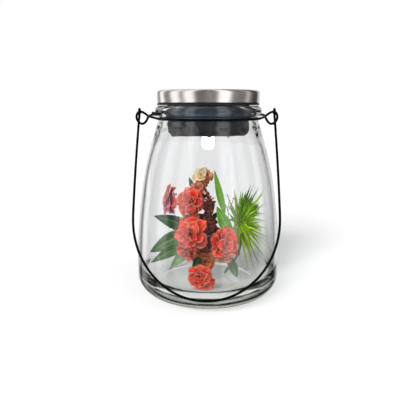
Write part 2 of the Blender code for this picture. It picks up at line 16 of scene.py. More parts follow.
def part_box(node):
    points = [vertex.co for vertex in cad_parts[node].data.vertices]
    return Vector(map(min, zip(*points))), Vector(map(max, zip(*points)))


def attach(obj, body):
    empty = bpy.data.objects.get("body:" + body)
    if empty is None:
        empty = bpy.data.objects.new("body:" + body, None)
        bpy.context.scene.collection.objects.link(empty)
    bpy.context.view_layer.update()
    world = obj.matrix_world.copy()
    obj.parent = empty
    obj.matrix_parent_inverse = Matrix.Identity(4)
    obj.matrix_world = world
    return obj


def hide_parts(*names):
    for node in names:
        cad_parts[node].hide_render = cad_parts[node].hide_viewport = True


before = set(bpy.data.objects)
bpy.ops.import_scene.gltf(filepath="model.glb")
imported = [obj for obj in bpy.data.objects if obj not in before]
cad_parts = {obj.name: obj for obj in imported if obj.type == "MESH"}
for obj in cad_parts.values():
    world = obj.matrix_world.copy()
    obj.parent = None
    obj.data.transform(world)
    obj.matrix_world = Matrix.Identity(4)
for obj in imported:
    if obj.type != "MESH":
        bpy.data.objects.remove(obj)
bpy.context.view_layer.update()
MM = 0.001


# Camera: a little above the lid, looking slightly down at the whole lantern.

camera_data = bpy.data.cameras.new("camera")
camera_data.lens = 40.49
camera_data.sensor_width = 36.0
camera = bpy.data.objects.new("camera", camera_data)
camera.location = (0.0, -0.3634, 0.15176)
camera.rotation_euler = (radians(90 - 12.046), 0.0, radians(1.02))
bpy.context.scene.collection.objects.link(camera)
bpy.context.scene.camera = camera


# Glass jar: pressed soda glass, blown wide from a narrow neck, with a thick flat base, a groove for
# the wire and a fat rounded bead under the rim. Its walls are 3 mm thick and slightly uneven.

JAR_TURN_STEPS = 144
BELLY_RADIUS = 58.5
HEEL_RADIUS = 14.0
GLASS_WALL = 3.0
FLOOR_HEIGHT = 8.5
INNER_HEEL_RADIUS = 15.5
BEARING_RADIUS = 43.0
PUNT_RADIUS = 38.0
PUNT_RISE = 1.0
SHOULDER = [(58.5, 24.0), (58.3, 34.0), (57.5, 51.0), (56.2, 66.0), (54.2, 81.0), (51.5, 97.5),
            (48.5, 110.0), (45.3, 121.5), (42.3, 131.2), (40.3, 137.6)]
GROOVE_RADIUS = 39.7
GROOVE_HEIGHT = 140.6
BEAD = [(40.5, 142.6), (41.9, 144.3), (42.2, 146.3), (41.6, 148.3), (40.3, 149.8)]
RIM_HEIGHT = 150.5
NECK_BORE_RADIUS = 35.8
INNER_SHOULDER = [(38.7, 130.5), (36.6, 135.0)]
NECK_BORE_FOOT = 138.5
FLOOR_DOME = [(0, 0.5), (18.0, 0.45), (30.0, 0.2)]  # radius, height over the floor
RIM_ROUND = [(0, -1.2), (0.4, -0.4), (1.1, 0)]  # from the top of the bore
RIM_OUTER_RADIUS = 39.2
RIPPLED_RADIUS, RIPPLED_FROM, RIPPLED_TO = 30, 3, 138
WAVY_HEIGHT, WAVY_REACH = 126, 14  # the shoulder, where the ripples are shorter and deeper
RIPPLE = (0.22, 13, 65)  # depth, size and length up the wall
SHOULDER_RIPPLE = (0.5, 7, 17)


def smooth_line(points, per_span, closed=False):
    """Points along a Catmull-Rom curve through the given points, which have 2 or 3 numbers each."""
    knots = [Vector(p) for p in points]
    count = len(knots)
    line = []
    for span in range(count if closed else count - 1):
        if closed:
            a, b, c, d = (knots[(span + k) % count] for k in (-1, 0, 1, 2))
        else:
            b, c = knots[span], knots[span + 1]
            a = knots[span - 1] if span else 2 * b - c
            d = knots[span + 2] if span + 2 < count else 2 * c - b
        for step in range(per_span):
            t = step / per_span
            line.append(0.5 * (2 * b + (c - a) * t + (2 * a - 5 * b + 4 * c - d) * t**2
                               + (3 * b - a - 3 * c + d) * t**3))
    if not closed:
        line.append(knots[-1])
    return line


def arc(centre, radius, start, end, steps):
    """Points of an arc in the profile plane, angles in degrees from outwards, turning upwards."""
    angles = [radians(start + (end - start) * k / steps) for k in range(steps + 1)]
    return [(centre[0] + radius * cos(a), centre[1] + radius * sin(a)) for a in angles]


def moved(profile, radius, height):
    return [(radius + r, height + z) for r, z in profile]


def spun(profile, steps=96, loop=False):
    """A shape of revolution about Z from (radius, height) points. A loop doesn't reach the axis."""
    shape = bmesh.new()
    verts = [shape.verts.new((r, 0, z)) for r, z in profile]
    ends = verts[1:] + verts[:1] if loop else verts[1:]
    edges = [shape.edges.new(pair) for pair in zip(verts, ends)]
    bmesh.ops.spin(shape, geom=verts + edges, cent=(0, 0, 0), axis=(0, 0, 1), angle=2 * pi,
                   steps=steps, use_merge=True)
    bmesh.ops.remove_doubles(shape, verts=shape.verts, dist=0.0005)
    bmesh.ops.recalc_face_normals(shape, faces=shape.faces)
    return shape


def add_piece(name, shape, material, body, slot, stands_for=(), sharp=35):
    """Makes a piece from a shape drawn in millimetres. Edges that turn more than sharp stay crisp."""
    bmesh.ops.scale(shape, vec=(MM, MM, MM), verts=shape.verts)
    mesh = bpy.data.meshes.new(name)
    shape.to_mesh(mesh)
    shape.free()
    mesh.shade_smooth()
    if sharp:
        mesh.set_sharp_from_angle(angle=radians(sharp))
    mesh.materials.append(material)
    piece = bpy.data.objects.new(name, mesh)
    bpy.context.scene.collection.objects.link(piece)
    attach(piece, body)
    if stands_for:
        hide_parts(*stands_for)
    return piece


def feed(node, values):
    """Sets inputs of a shader node. A value is a constant, or the socket that feeds the input."""
    for name, value in values.items():
        if isinstance(value, bpy.types.NodeSocket):
            node.id_data.links.new(value, node.inputs[name])
        else:
            node.inputs[name].default_value = value


def new_material(name, roughness, metallic=0.0):
    """A material and its main shader, whose even values are set on the shader's own sockets."""
    material = bpy.data.materials.new(name)
    material.use_nodes = True
    shader = material.node_tree.nodes["Principled BSDF"]
    feed(shader, {"Roughness": roughness, "Metallic": metallic})
    return material, shader


def add_node(material, kind, values, **settings):
    """Adds a shader node to a material or a world."""
    made = material.node_tree.nodes.new("ShaderNode" + kind)
    for name, value in settings.items():
        setattr(made, name, value)
    feed(made, values)
    return made


def reckon(material, operation, *values):
    """The outcome of a sum, each of whose values is a number or a socket."""
    return add_node(material, "Math", dict(enumerate(values)), operation=operation).outputs[0]


def mix_surfaces(material, share, first, second):
    """Makes a mix of two shaders the surface of the material."""
    both = add_node(material, "MixShader", {0: share, 1: first.outputs[0], 2: second.outputs[0]})
    feed(material.node_tree.nodes["Material Output"], {"Surface": both.outputs[0]})


def glass_for_lamps(material, shader, passed):
    """Lets the light that falls on things inside the glass through it, in the colour given."""
    path = add_node(material, "LightPath", {}).outputs
    lamps = reckon(material, "MAXIMUM", path["Is Shadow Ray"], path["Is Diffuse Ray"])
    mix_surfaces(material, lamps, shader, add_node(material, "BsdfTransparent", {"Color": (*passed, 1)}))


def grain(material, size, detail=2.0, stretch=(1, 1, 1)):
    """A noise pattern fixed to the object, with its size in millimetres."""
    place = add_node(material, "TexCoord", {})
    fit = add_node(material, "Mapping", {"Vector": place.outputs["Object"], "Scale": stretch})
    made = add_node(material, "TexNoise", {"Vector": fit.outputs[0], "Scale": 1 / (size * MM),
                                           "Detail": detail, "Roughness": 0.5})
    return made.outputs["Fac"]


def relief(material, shader, height, depth, strength=1.0):
    """Bumps the shader's surface by the height pattern, up to the depth in millimetres."""
    bump = add_node(material, "Bump", {"Height": height, "Distance": depth * MM, "Strength": strength})
    feed(shader, {"Normal": bump.outputs[0]})


def jar_profile():
    """The inside of the glass from the centre of the floor up, over the rim and down the outside."""
    inner_belly = BELLY_RADIUS - GLASS_WALL
    inner_heel = arc((inner_belly - INNER_HEEL_RADIUS, FLOOR_HEIGHT + INNER_HEEL_RADIUS),
                     INNER_HEEL_RADIUS, -90, 0, 12)
    inner_wall = moved(SHOULDER[1:-2], -GLASS_WALL, 0)
    inner_wall += INNER_SHOULDER + [(NECK_BORE_RADIUS, NECK_BORE_FOOT)]
    inner_wall = [tuple(p) for p in smooth_line([inner_heel[-1]] + inner_wall, 5)]
    floor = moved(FLOOR_DOME, 0, FLOOR_HEIGHT)
    rim = moved(RIM_ROUND, NECK_BORE_RADIUS, RIM_HEIGHT) + [(RIM_OUTER_RADIUS, RIM_HEIGHT)]
    neck = smooth_line(BEAD[::-1] + [(GROOVE_RADIUS, GROOVE_HEIGHT)] + SHOULDER[::-1], 6)
    heel = arc((BELLY_RADIUS - HEEL_RADIUS, HEEL_RADIUS), HEEL_RADIUS, 0, -82, 12)
    foot = [(BEARING_RADIUS, 0.0), (BEARING_RADIUS - 2.0, 0.0), (PUNT_RADIUS, PUNT_RISE * 0.6),
            (PUNT_RADIUS - 5.0, PUNT_RISE), (0, PUNT_RISE)]
    return floor + inner_heel + inner_wall[1:] + rim + [tuple(p) for p in neck] + heel + foot


def ripple_glass(shape):
    """Gives the walls the slow, mostly upright unevenness of pressed glass, always inwards."""
    for vert in shape.verts:
        x, y, z = vert.co
        radius = sqrt(x * x + y * y)
        if radius < RIPPLED_RADIUS or z > RIPPLED_TO or z < RIPPLED_FROM:
            continue
        shoulder = max(0.0, 1 - abs(z - WAVY_HEIGHT) / WAVY_REACH)
        depth, size, length = (a + (b - a) * shoulder for a, b in zip(RIPPLE, SHOULDER_RIPPLE))
        push = 0.5 + 0.5 * noise.noise(Vector((x / size, y / size, z / length)))
        vert.co.x -= x / radius * depth * push
        vert.co.y -= y / radius * depth * push


glass, glass_shader = new_material("jar glass", 0.0)
feed(glass_shader, {"Transmission Weight": 1.0, "IOR": 1.5, "Specular IOR Level": 0.3,
                    "Base Color": (0.928, 0.930, 0.936, 1)})
relief(glass, glass_shader, grain(glass, 9.0, 1.0, (1, 1, 0.25)), 0.06)
glass_for_lamps(glass, glass_shader, (0.93, 0.94, 0.935))
tint = add_node(glass, "VolumeAbsorption", {"Color": (0.67, 0.70, 0.64, 1), "Density": 24.0})
feed(glass.node_tree.nodes["Material Output"], {"Volume": tint.outputs[0]})
jar_shape = spun(jar_profile(), JAR_TURN_STEPS)
ripple_glass(jar_shape)
add_piece("jar_body", jar_shape, glass, "jar", "jar_glass", ("glass_jar",), sharp=0)


# Neck collar: one length of black lacquered steel wire, lying in the groove, bent out into an eye on
# each side. Its two ends are twisted round each other beside the left eye and cut off short.

WIRE_RADIUS = 0.95
COLLAR_RADIUS = GROOVE_RADIUS + WIRE_RADIUS + 0.4
COLLAR_LEAVES_AT = 26.0
HINGE_X = 53.4
WIRE_SHIFT = -1.1  # the eyes and the bail sit a little to the left of the jar's axis
HINGE_HEIGHT = 145.7
TWIST_START, TWIST_END = Vector((-42.9, -5.0, 144.9)), Vector((-33.6, -24.0, 144.3))
TWIST_TURNS = 3.5
TWIST_OUT = 43.6
STRAND_RADIUS = 0.6
STRAND_OFFSET = 0.62
CUT_END_GIRTH = 0.65  # of a wire where it was cut, against the rest of it


def ramp(material, factor, stops):
    """Colours along a factor, from (place, colour) stops. A single number stands for a grey."""
    made = add_node(material, "ValToRGB", {"Fac": factor})
    while len(made.color_ramp.elements) < len(stops):
        made.color_ramp.elements.new(1.0)
    for element, (place, colour) in zip(made.color_ramp.elements, stops):
        element.position = place
        element.color = (*colour, 1) if isinstance(colour, tuple) else (colour, colour, colour, 1)
    return made.outputs["Color"]


def wire(shape, points, radius, sides=12, closed=False):
    """Sweeps a round wire along points, with its ends drawn in a little where it was cut."""
    count = len(points)
    rings = []
    side_way = None
    for k, point in enumerate(points):
        before = points[k - 1] if k or closed else point
        after = points[(k + 1) % count] if k + 1 < count or closed else point
        way = (after - before).normalized()
        if side_way is None:
            side_way = way.orthogonal().normalized()
        side_way = (side_way - way * side_way.dot(way)).normalized()
        girth = radius * CUT_END_GIRTH if not closed and k in (0, count - 1) else radius
        turn = Matrix((side_way, way.cross(side_way), way)).transposed().to_4x4()
        ring = bmesh.ops.create_circle(shape, segments=sides, radius=girth,
                                       matrix=Matrix.Translation(point) @ turn)["verts"]
        rings.append(list({edge for vert in ring for edge in vert.link_edges}))
    for k in range(count - 1):
        bmesh.ops.bridge_loops(shape, edges=rings[k] + rings[k + 1])
    if closed:
        bmesh.ops.bridge_loops(shape, edges=rings[-1] + rings[0])
    else:
        for ring in (rings[0], rings[-1]):
            bmesh.ops.contextual_create(shape, geom=ring)


def add_wires(name, shape, material, body, slot, stands_for=()):
    """Makes a piece of wires, with all their faces turned outwards."""
    bmesh.ops.recalc_face_normals(shape, faces=shape.faces)
    add_piece(name, shape, material, body, slot, stands_for, sharp=50)


def collar_side(side):
    """The wire on one side of the neck: out of the front groove, round the eye, into the back."""
    crossing_height = GROOVE_HEIGHT + 1.7
    eye = [(49.0, -0.75, 144.4), (51.4, -0.3, 145.6), (HINGE_X, 0.0, HINGE_HEIGHT),
           (55.0, 0.0, 144.7), (55.9, 0.0, 142.3), (55.6, 0.0, 139.8), (54.1, 0.1, 137.5),
           (51.4, 0.3, 136.3), (48.8, 0.8, 137.8)]
    loop = [(46.0, -1.1, crossing_height)] + eye + [(46.0, 1.1, crossing_height)]
    loop = [(x + side * WIRE_SHIFT, y, z) for x, y, z in loop]
    route = [(41.7, -9.4, GROOVE_HEIGHT + 0.7)] + loop
    route += [(43.5, 5.6, crossing_height + 1.1), (40.6, 12.4, crossing_height - 0.1)]
    return [(side * x, y, z) for x, y, z in route]


def collar_route():
    sweep = 180 - 2 * COLLAR_LEAVES_AT
    turns = [radians(COLLAR_LEAVES_AT + sweep * k / 9) for k in range(10)]
    back = [(COLLAR_RADIUS * cos(a), COLLAR_RADIUS * sin(a), GROOVE_HEIGHT) for a in turns]
    front = [(x, -y, z) for x, y, z in back[::-1]]
    return front + collar_side(1) + back + collar_side(-1)[::-1]


lacquer, lacquer_shader = new_material("black wire lacquer", 0.32)
feed(lacquer_shader, {"Specular IOR Level": 0.05,
                      "Base Color": ramp(lacquer, grain(lacquer, 3.0, 4.0), [(0.3, 0.0008), (0.72, 0.003)]),
                      "Roughness": ramp(lacquer, grain(lacquer, 1.2, 3.0), [(0.3, 0.24), (0.75, 0.48)])})
relief(lacquer, lacquer_shader, grain(lacquer, 0.5, 3.0), 0.03)

collar_shape = bmesh.new()
wire(collar_shape, smooth_line(collar_route(), 6, closed=True), WIRE_RADIUS, closed=True)
for strand in (0, 1):
    coil = []
    for k in range(25):
        share = k / 24
        turn = 2 * pi * TWIST_TURNS * share + pi * strand
        middle = TWIST_START.lerp(TWIST_END, share)
        outwards = Vector((middle.x, middle.y, 0)).normalized()
        middle = middle + outwards * (TWIST_OUT - Vector((middle.x, middle.y, 0)).length)
        rise = Vector((0, 0, STRAND_OFFSET)) * sin(turn)
        coil.append(middle + outwards * cos(turn) * STRAND_OFFSET + rise)
    wire(collar_shape, coil, STRAND_RADIUS, sides=8)
add_wires("collar_wire", collar_shape, lacquer, "jar", "black_wire", ("neck_wire",))


# Bail: the same black wire, bent into a long U with a small ring at each end that hooks through an
# eye of the collar. At rest it hangs down the front and leans on the glass.

RING_RADIUS = 2.2
BAIL_LENGTH = 146.6
BAIL_HALF_WIDTH = 55.3
BAIL_BEND_DEPTH = 62.0
BAIL_LEAN = 24.15


def bail_half():
    """Points from the free end of one ring down one leg to the middle of the bend, hanging plumb."""
    turns = [radians(a) for a in range(62, 333, 30)]
    ring = [(HINGE_X, RING_RADIUS * sin(a), -RING_RADIUS * cos(a)) for a in turns]
    throat = [(HINGE_X, -0.5, -RING_RADIUS - 0.75), (HINGE_X, -0.05, -RING_RADIUS - 2.4)]
    bend_starts = BAIL_LENGTH - BAIL_BEND_DEPTH
    spread = BAIL_HALF_WIDTH - HINGE_X
    depths = [bend_starts * (0.08 + 0.92 * k / 7) for k in range(7)]
    leg = [(HINGE_X + spread * sin(pi / 2 * s / bend_starts), 0, -s) for s in depths]
    turns = [pi / 2 * k / 12 for k in range(13)]
    bend = [(BAIL_HALF_WIDTH * cos(a), 0, -bend_starts - BAIL_BEND_DEPTH * sin(a)) for a in turns]
    return ring + throat + leg + bend


half = bail_half()
bail_line = smooth_line(half + [(-x, y, z) for x, y, z in half[-2::-1]], 4)
hang = Matrix.Translation((WIRE_SHIFT, 0, HINGE_HEIGHT)) @ Matrix.Rotation(radians(-BAIL_LEAN), 4, "X")
bail_shape = bmesh.new()
wire(bail_shape, [hang @ p for p in bail_line], WIRE_RADIUS)
add_wires("bail_wire", bail_shape, lacquer, "bail", "black_wire", ("bail_handle",))


# Lid cap: drawn stainless steel, brushed round and round, with a rolled lower edge and a round
# window turned into its top. It is pressed on over the black housing.

LID_RADIUS = 40.3
LID_TOP = 162.2
LID_CORNER = 2.0
STEEL = 0.6
CAP_BOTTOM = 152.7
WINDOW_RADIUS = 27.0
GAP = 0.3
BRUSHING_FINENESS = 260.0

WINDOW_EDGE = [(0, -STEEL), (0, -0.15), (0.15, 0), (1.2, 0), (1.5, -0.12), (1.9, -0.12), (2.2, 0)]
ROLLED_EDGE = [(0, 1.2), (-0.12, 1.0), (-0.12, 0.8), (0, 0.6), (0, 0.15), (-0.2, 0), (-STEEL, 0)]
STEEL_SHADES = [(0.25, (0.70, 0.66, 0.64)), (0.5, (0.82, 0.79, 0.77)), (0.75, (0.93, 0.91, 0.90))]

cap_centre = (LID_RADIUS - LID_CORNER, LID_TOP - LID_CORNER)
cap_profile = moved(WINDOW_EDGE, WINDOW_RADIUS, LID_TOP) + arc(cap_centre, LID_CORNER, 90, 0, 10)
cap_profile += moved(ROLLED_EDGE, LID_RADIUS, CAP_BOTTOM) + arc(cap_centre, LID_CORNER - STEEL, 0, 90, 6)


def coordinates(material):
    """The place on the object as a vector, and its three parts."""
    place = add_node(material, "TexCoord", {}).outputs["Object"]
    return place, add_node(material, "SeparateXYZ", {"Vector": place}).outputs


steel, steel_shader = new_material("brushed lid steel", 0.26, 1.0)
_, parts = coordinates(steel)
flat = add_node(steel, "CombineXYZ", {"X": parts["X"], "Y": parts["Y"]})
out = add_node(steel, "VectorMath", {0: flat.outputs[0]}, operation="LENGTH")
across = reckon(steel, "ADD", out.outputs["Value"], parts["Z"])
fine = reckon(steel, "MULTIPLY", across, BRUSHING_FINENESS)
line_place = add_node(steel, "CombineXYZ", {"X": parts["X"], "Y": parts["Y"], "Z": fine}).outputs[0]
brushing = add_node(steel, "TexNoise", {"Vector": line_place, "Scale": 22.0, "Detail": 4.0,
                                        "Roughness": 0.7}).outputs["Fac"]
feed(steel_shader, {"Anisotropic": 0.35, "Base Color": ramp(steel, brushing, STEEL_SHADES),
                    "Roughness": ramp(steel, brushing, [(0.3, 0.14), (0.7, 0.24)])})
add_piece("lid_cap", spun(cap_profile, 144, loop=True), steel, "lid", "brushed_lid", ("lid_shell",))


# Solar window and cell: a clear acrylic disc with a flange clamped under the steel, over a square
# blue silicon wafer with printed silver fingers and two bus bars, glued to the housing's deck.

WINDOW_TOP = LID_TOP - 0.2
WINDOW_FLANGE_TOP = LID_TOP - STEEL - GAP
WINDOW_FLANGE_RADIUS = 33.4
FINGER_PITCH = 1.55
FINGER_WIDTH = 0.14
BUS_OFFSET = 9.5
BUS_WIDTH = 1.1
CRYSTAL_SIZE = 3.5

WINDOW_FLANGE = 1.0
WINDOW_CHAMFER = [(-0.6, 0), (-0.2, -0.12), (0, -0.5)]

window_profile = [(0, WINDOW_TOP)] + moved(WINDOW_CHAMFER, WINDOW_RADIUS - GAP, WINDOW_TOP)
window_profile += [(WINDOW_RADIUS - GAP, WINDOW_FLANGE_TOP), (WINDOW_FLANGE_RADIUS, WINDOW_FLANGE_TOP),
                   (WINDOW_FLANGE_RADIUS, WINDOW_FLANGE_TOP - WINDOW_FLANGE),
                   (0, WINDOW_FLANGE_TOP - WINDOW_FLANGE)]
acrylic, acrylic_shader = new_material("clear acrylic", 0.03)
feed(acrylic_shader, {"Transmission Weight": 1.0, "IOR": 1.49, "Base Color": (0.93, 0.95, 0.96, 1),
                      "Roughness": ramp(acrylic, grain(acrylic, 6.0, 3.0), [(0.35, 0.02), (0.7, 0.07)])})
glass_for_lamps(acrylic, acrylic_shader, (0.9, 0.92, 0.93))
add_piece("solar_window", spun(window_profile, 96), acrylic, "lid", "clear_window", ("panel_window",))


def stripes(material, along, pitch, width, offset=0.0):
    """1 on lines of that width, at every pitch along a coordinate, in millimetres."""
    moved = reckon(material, "ADD", along, offset * MM)
    return reckon(material, "LESS_THAN", reckon(material, "PINGPONG", moved, pitch * MM), width / 2 * MM)


def blend(material, share, first, second, way="MIX"):
    """The second colour over the first by a share, or the product of both."""
    return add_node(material, "Mix", {0: share, 6: first, 7: second}, data_type="RGBA",
                    blend_type=way).outputs[2]


def finish(node, material):
    """Gives a solid shown as it is its material."""
    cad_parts[node].data.materials[0] = material


wafer, wafer_shader = new_material("solar wafer", 0.22)
place, parts = coordinates(wafer)
fingers = stripes(wafer, parts["X"], FINGER_PITCH / 2, FINGER_WIDTH)
buses = stripes(wafer, parts["Y"], BUS_OFFSET, BUS_WIDTH, BUS_OFFSET)
silver = reckon(wafer, "MAXIMUM", fingers, buses)
crystals = add_node(wafer, "TexVoronoi", {"Vector": place, "Scale": 1 / (CRYSTAL_SIZE * MM)})
silicon = ramp(wafer, crystals.outputs["Color"], [(0.1, (0.006, 0.010, 0.035)), (0.5, (0.010, 0.020, 0.07)),
                                                  (0.9, (0.020, 0.035, 0.12))])
feed(wafer_shader, {"Coat Weight": 0.6, "Coat Roughness": 0.06, "Metallic": silver,
                    "Base Color": blend(wafer, silver, silicon, (0.45, 0.46, 0.48, 1))})
finish("solar_panel", wafer)


# Housing and plug: black and dark grey moulded plastic. The housing's foot shows as a dark line
# under the steel. The plug hangs in the glass neck, screwed to the housing, and holds the lamp.

PLASTIC_GRAIN = 0.45


def moulded(name, dark, light, rough_from, rough_to, size=PLASTIC_GRAIN, depth=0.02, metallic=0.0):
    """A moulded, plated or rubber finish: slightly uneven colour and roughness, and a fine texture."""
    material, shader = new_material(name, rough_from, metallic)
    colour = ramp(material, grain(material, size * 14, 3.0), [(0.3, dark), (0.7, light)])
    rough = ramp(material, grain(material, size * 5, 2.0), [(0.3, rough_from), (0.7, rough_to)])
    feed(shader, {"Base Color": colour, "Roughness": rough})
    relief(material, shader, grain(material, size, 3.0), depth)
    if not metallic:
        feed(shader, {"Specular IOR Level": 0.2})
    return material


def merged_copy(node, name, material, slot):
    """A piece with a solid's own shape, its triangles joined up so that its curves shade smoothly."""
    shape = bmesh.new()
    shape.from_mesh(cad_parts[node].data)
    bmesh.ops.remove_doubles(shape, verts=shape.verts, dist=0.002 * MM)
    bmesh.ops.scale(shape, vec=(1 / MM,) * 3, verts=shape.verts)
    add_piece(name, shape, material, "lid", slot, (node,), sharp=32)


black_plastic = moulded("black moulded plastic", (0.007, 0.007, 0.008), (0.016, 0.016, 0.017), 0.38, 0.55)
grey_plastic = moulded("plug plastic", (0.006, 0.007, 0.009), (0.020, 0.022, 0.027), 0.55, 0.75)
merged_copy("lid_housing", "housing_moulding", black_plastic, "black_plastic")
merged_copy("plug_housing", "plug_cup", grey_plastic, "grey_plastic")
merged_copy("battery_cover", "battery_hatch", grey_plastic, "grey_plastic")
finish("switch_knob", black_plastic)


# Seal: a soft slate-coloured ring with three ribs, stretched over the plug to grip the glass neck.

PLUG_RADIUS = 32.5
SEAL_RADIUS = PLUG_RADIUS + 1.5
SEAL_LIP = NECK_BORE_RADIUS - GAP
SEAL_TOP, SEAL_BOTTOM = 149.6, 140.2
RIB_HEIGHTS = (148.0, 145.0, 142.0)
RIB_PROFILE = [(SEAL_RADIUS, 0.9), (SEAL_LIP - 0.2, 0.45), (SEAL_LIP, 0.2), (SEAL_LIP, -0.2),
               (SEAL_LIP - 0.2, -0.45), (SEAL_RADIUS, -0.9)]
seal_profile = [(PLUG_RADIUS + GAP, SEAL_TOP), (SEAL_RADIUS, SEAL_TOP)]
for rib in RIB_HEIGHTS:
    seal_profile += moved(RIB_PROFILE, 0, rib)
seal_profile += [(SEAL_RADIUS, SEAL_BOTTOM), (PLUG_RADIUS + GAP, SEAL_BOTTOM)]
seal_finish = moulded("slate seal rubber", (0.030, 0.046, 0.066), (0.052, 0.074, 0.100), 0.40, 0.60)
add_piece("neck_seal", spun(seal_profile, 96, loop=True), seal_finish, "lid", "seal_rubber", ("seal_ring",))


# Lamp: a 10 mm light-emitting diode in clear epoxy with a collar at its foot, glowing white and
# bluer towards its foot. Its two tinned legs go up to the board.

LED_RADIUS = 5.0
LED_TIP = 116.2
LED_FLANGE = 131.3
FLANGE_PROFILE = [(0, 1.0), (5.6, 1.0), (5.8, 0.8), (5.8, 0.2), (5.6, 0), (LED_RADIUS, 0)]
LED_STRENGTH = 4.5
led_profile = moved(FLANGE_PROFILE, 0, LED_FLANGE)
led_profile += arc((0, LED_TIP + LED_RADIUS), LED_RADIUS, 0, -90, 14)[:-1] + [(0, LED_TIP)]


def share_along(material, coordinate, start, end):
    """0 to 1 from the start to the end of a coordinate, in millimetres."""
    return add_node(material, "MapRange", {0: coordinate, 1: start * MM, 2: end * MM}).outputs[0]


lens, lens_shader = new_material("lit epoxy lens", 0.12)
_, parts = coordinates(lens)
glow = ramp(lens, share_along(lens, parts["Z"], LED_TIP, LED_FLANGE),
            [(0.0, (0.82, 0.90, 1.0)), (0.35, 1.0), (0.72, (0.62, 0.74, 1.0)), (0.95, (0.10, 0.16, 0.62))])
feed(lens_shader, {"Emission Color": glow, "Base Color": glow, "Emission Strength": LED_STRENGTH})
add_piece("lamp_lens", spun(led_profile, 48), lens, "lid", "led_lens", ("led_bulb",))


# Light unit inside the plug: a green board on two posts, a short green cell between a spring and an
# end contact, a slide switch, the solar leads, and nickel-plated screws.

plating = moulded("nickel plating", (0.52, 0.51, 0.48), (0.68, 0.67, 0.64), 0.18, 0.34, 0.3, 0.01, 1.0)
TRACK_PITCH = 3.2
CELL_ENDS = (-13.8, 12.2)
PLATED = ["led_lead_1", "led_lead_2", "battery_spring", "battery_contact", "cover_screw", "switch_body",
          "board_screw_1", "board_screw_2", "plug_screw_1", "plug_screw_2", "plug_screw_3"]
for name in PLATED:
    finish(name, plating)

mask, mask_shader = new_material("board solder mask", 0.3)
tracks = add_node(mask, "TexVoronoi", {"Vector": coordinates(mask)[0], "Scale": 1 / (TRACK_PITCH * MM)},
                  feature="DISTANCE_TO_EDGE").outputs["Distance"]
mask_shades = [(0.03, (0.045, 0.20, 0.07)), (0.09, (0.012, 0.09, 0.03)), (0.35, (0.016, 0.11, 0.04))]
feed(mask_shader, {"Base Color": ramp(mask, tracks, mask_shades)})
relief(mask, mask_shader, tracks, 0.03)
finish("circuit_board", mask)

wrap, wrap_shader = new_material("cell wrap", 0.3)
_, parts = coordinates(wrap)
wrap_shades = [(0.0, (0.05, 0.16, 0.07)), (0.16, (0.06, 0.22, 0.09)), (0.17, (0.70, 0.70, 0.66)),
               (0.20, (0.70, 0.70, 0.66)), (0.21, (0.06, 0.24, 0.09)), (0.9, (0.05, 0.20, 0.08)),
               (0.96, (0.62, 0.60, 0.56))]
feed(wrap_shader, {"Base Color": ramp(wrap, share_along(wrap, parts["X"], *CELL_ENDS), wrap_shades)})
relief(wrap, wrap_shader, grain(wrap, 2.0, 3.0), 0.04)
finish("battery", wrap)
finish("panel_lead_red", moulded("red insulation", (0.40, 0.012, 0.012), (0.55, 0.025, 0.02), 0.35, 0.5, 0.3))
finish("panel_lead_black", black_plastic)


# Blossoms: dyed cloth petals stamped out, cupped and ruffled by hand, glued in rings round a small
# dark eye, on a green plastic calyx. The edges of the cloth stay paler than the rest.

PETAL_CLOTH = 0.22
PETAL_VEINS = 62.0
PETALS_SWELL = 1.12
OWN_SWELL = {"blossom_7": 1.3, "blossom_8": 1.0}
DRAWN_RADIUS = 10.5  # of a blossom made with the rings as they are
RINGS = [  # petals, length, width, lean and curl in radians, height of the foot, cup
    (3, 3.6, 4.0, 0.30, 0.90, 1.8, 0.60),
    (4, 6.6, 6.6, 0.70, 0.90, 1.6, 0.50),
    (5, 9.4, 8.4, 0.98, 0.80, 0.4, 0.42),
    (6, 10.8, 9.0, 1.35, 0.65, -1.0, 0.36),
    (5, 10.0, 8.4, 1.80, 0.65, -2.4, 0.30),
]


def sheet(shape, place, dye, columns, rows):
    """Adds a small sheet. place gives a point from across, -1 to 1, and along, 0 to 1."""
    made = bmesh.ops.create_grid(shape, x_segments=columns, y_segments=rows, size=1.0)["verts"]
    spots = {vert: (vert.co.x, (vert.co.y + 1) / 2) for vert in made}
    for vert, spot in spots.items():
        vert.co = place(*spot)
    uv_layer = shape.loops.layers.uv.verify()
    dye_layer = shape.loops.layers.float_color.get("dye") or shape.loops.layers.float_color.new("dye")
    for face in {face for vert in made for face in vert.link_faces}:
        for loop in face.loops:
            across, along = spots[loop.vert]
            loop[uv_layer].uv = ((across + 1) / 2, along)
            loop[dye_layer] = (*dye, 1)


def petal_place(length, width, lean, curl, turn, foot, cup, wave, phase):
    """How one petal lies: it leans out from the flower's axis and curls further towards its tip."""
    def place(across, along):
        along = sin(along * pi / 2)
        angle = lean + curl * along
        reach = length * (1 + 0.07 * along * sin(5.5 * across + 2 * phase))
        out = 0.5 + reach / curl * (cos(lean) - cos(angle))
        up = foot + reach / curl * (sin(angle) - sin(lean))
        side = across * width / 2 * max(0.15, sin(pi * min(along, 0.995) ** 1.45) ** 0.52)
        rise = cup * side * side / width * 2 + wave * along**2 * sin(3.6 * across + phase)
        rise += 0.3 * wave * along**3 * sin(9.0 * across + 3 * phase)
        out -= cos(angle) * rise
        up += sin(angle) * rise
        return Vector((out * cos(turn) - side * sin(turn), out * sin(turn) + side * cos(turn), up))
    return place


def mixed(first, second, share):
    return tuple(a + (b - a) * share for a, b in zip(first, second))


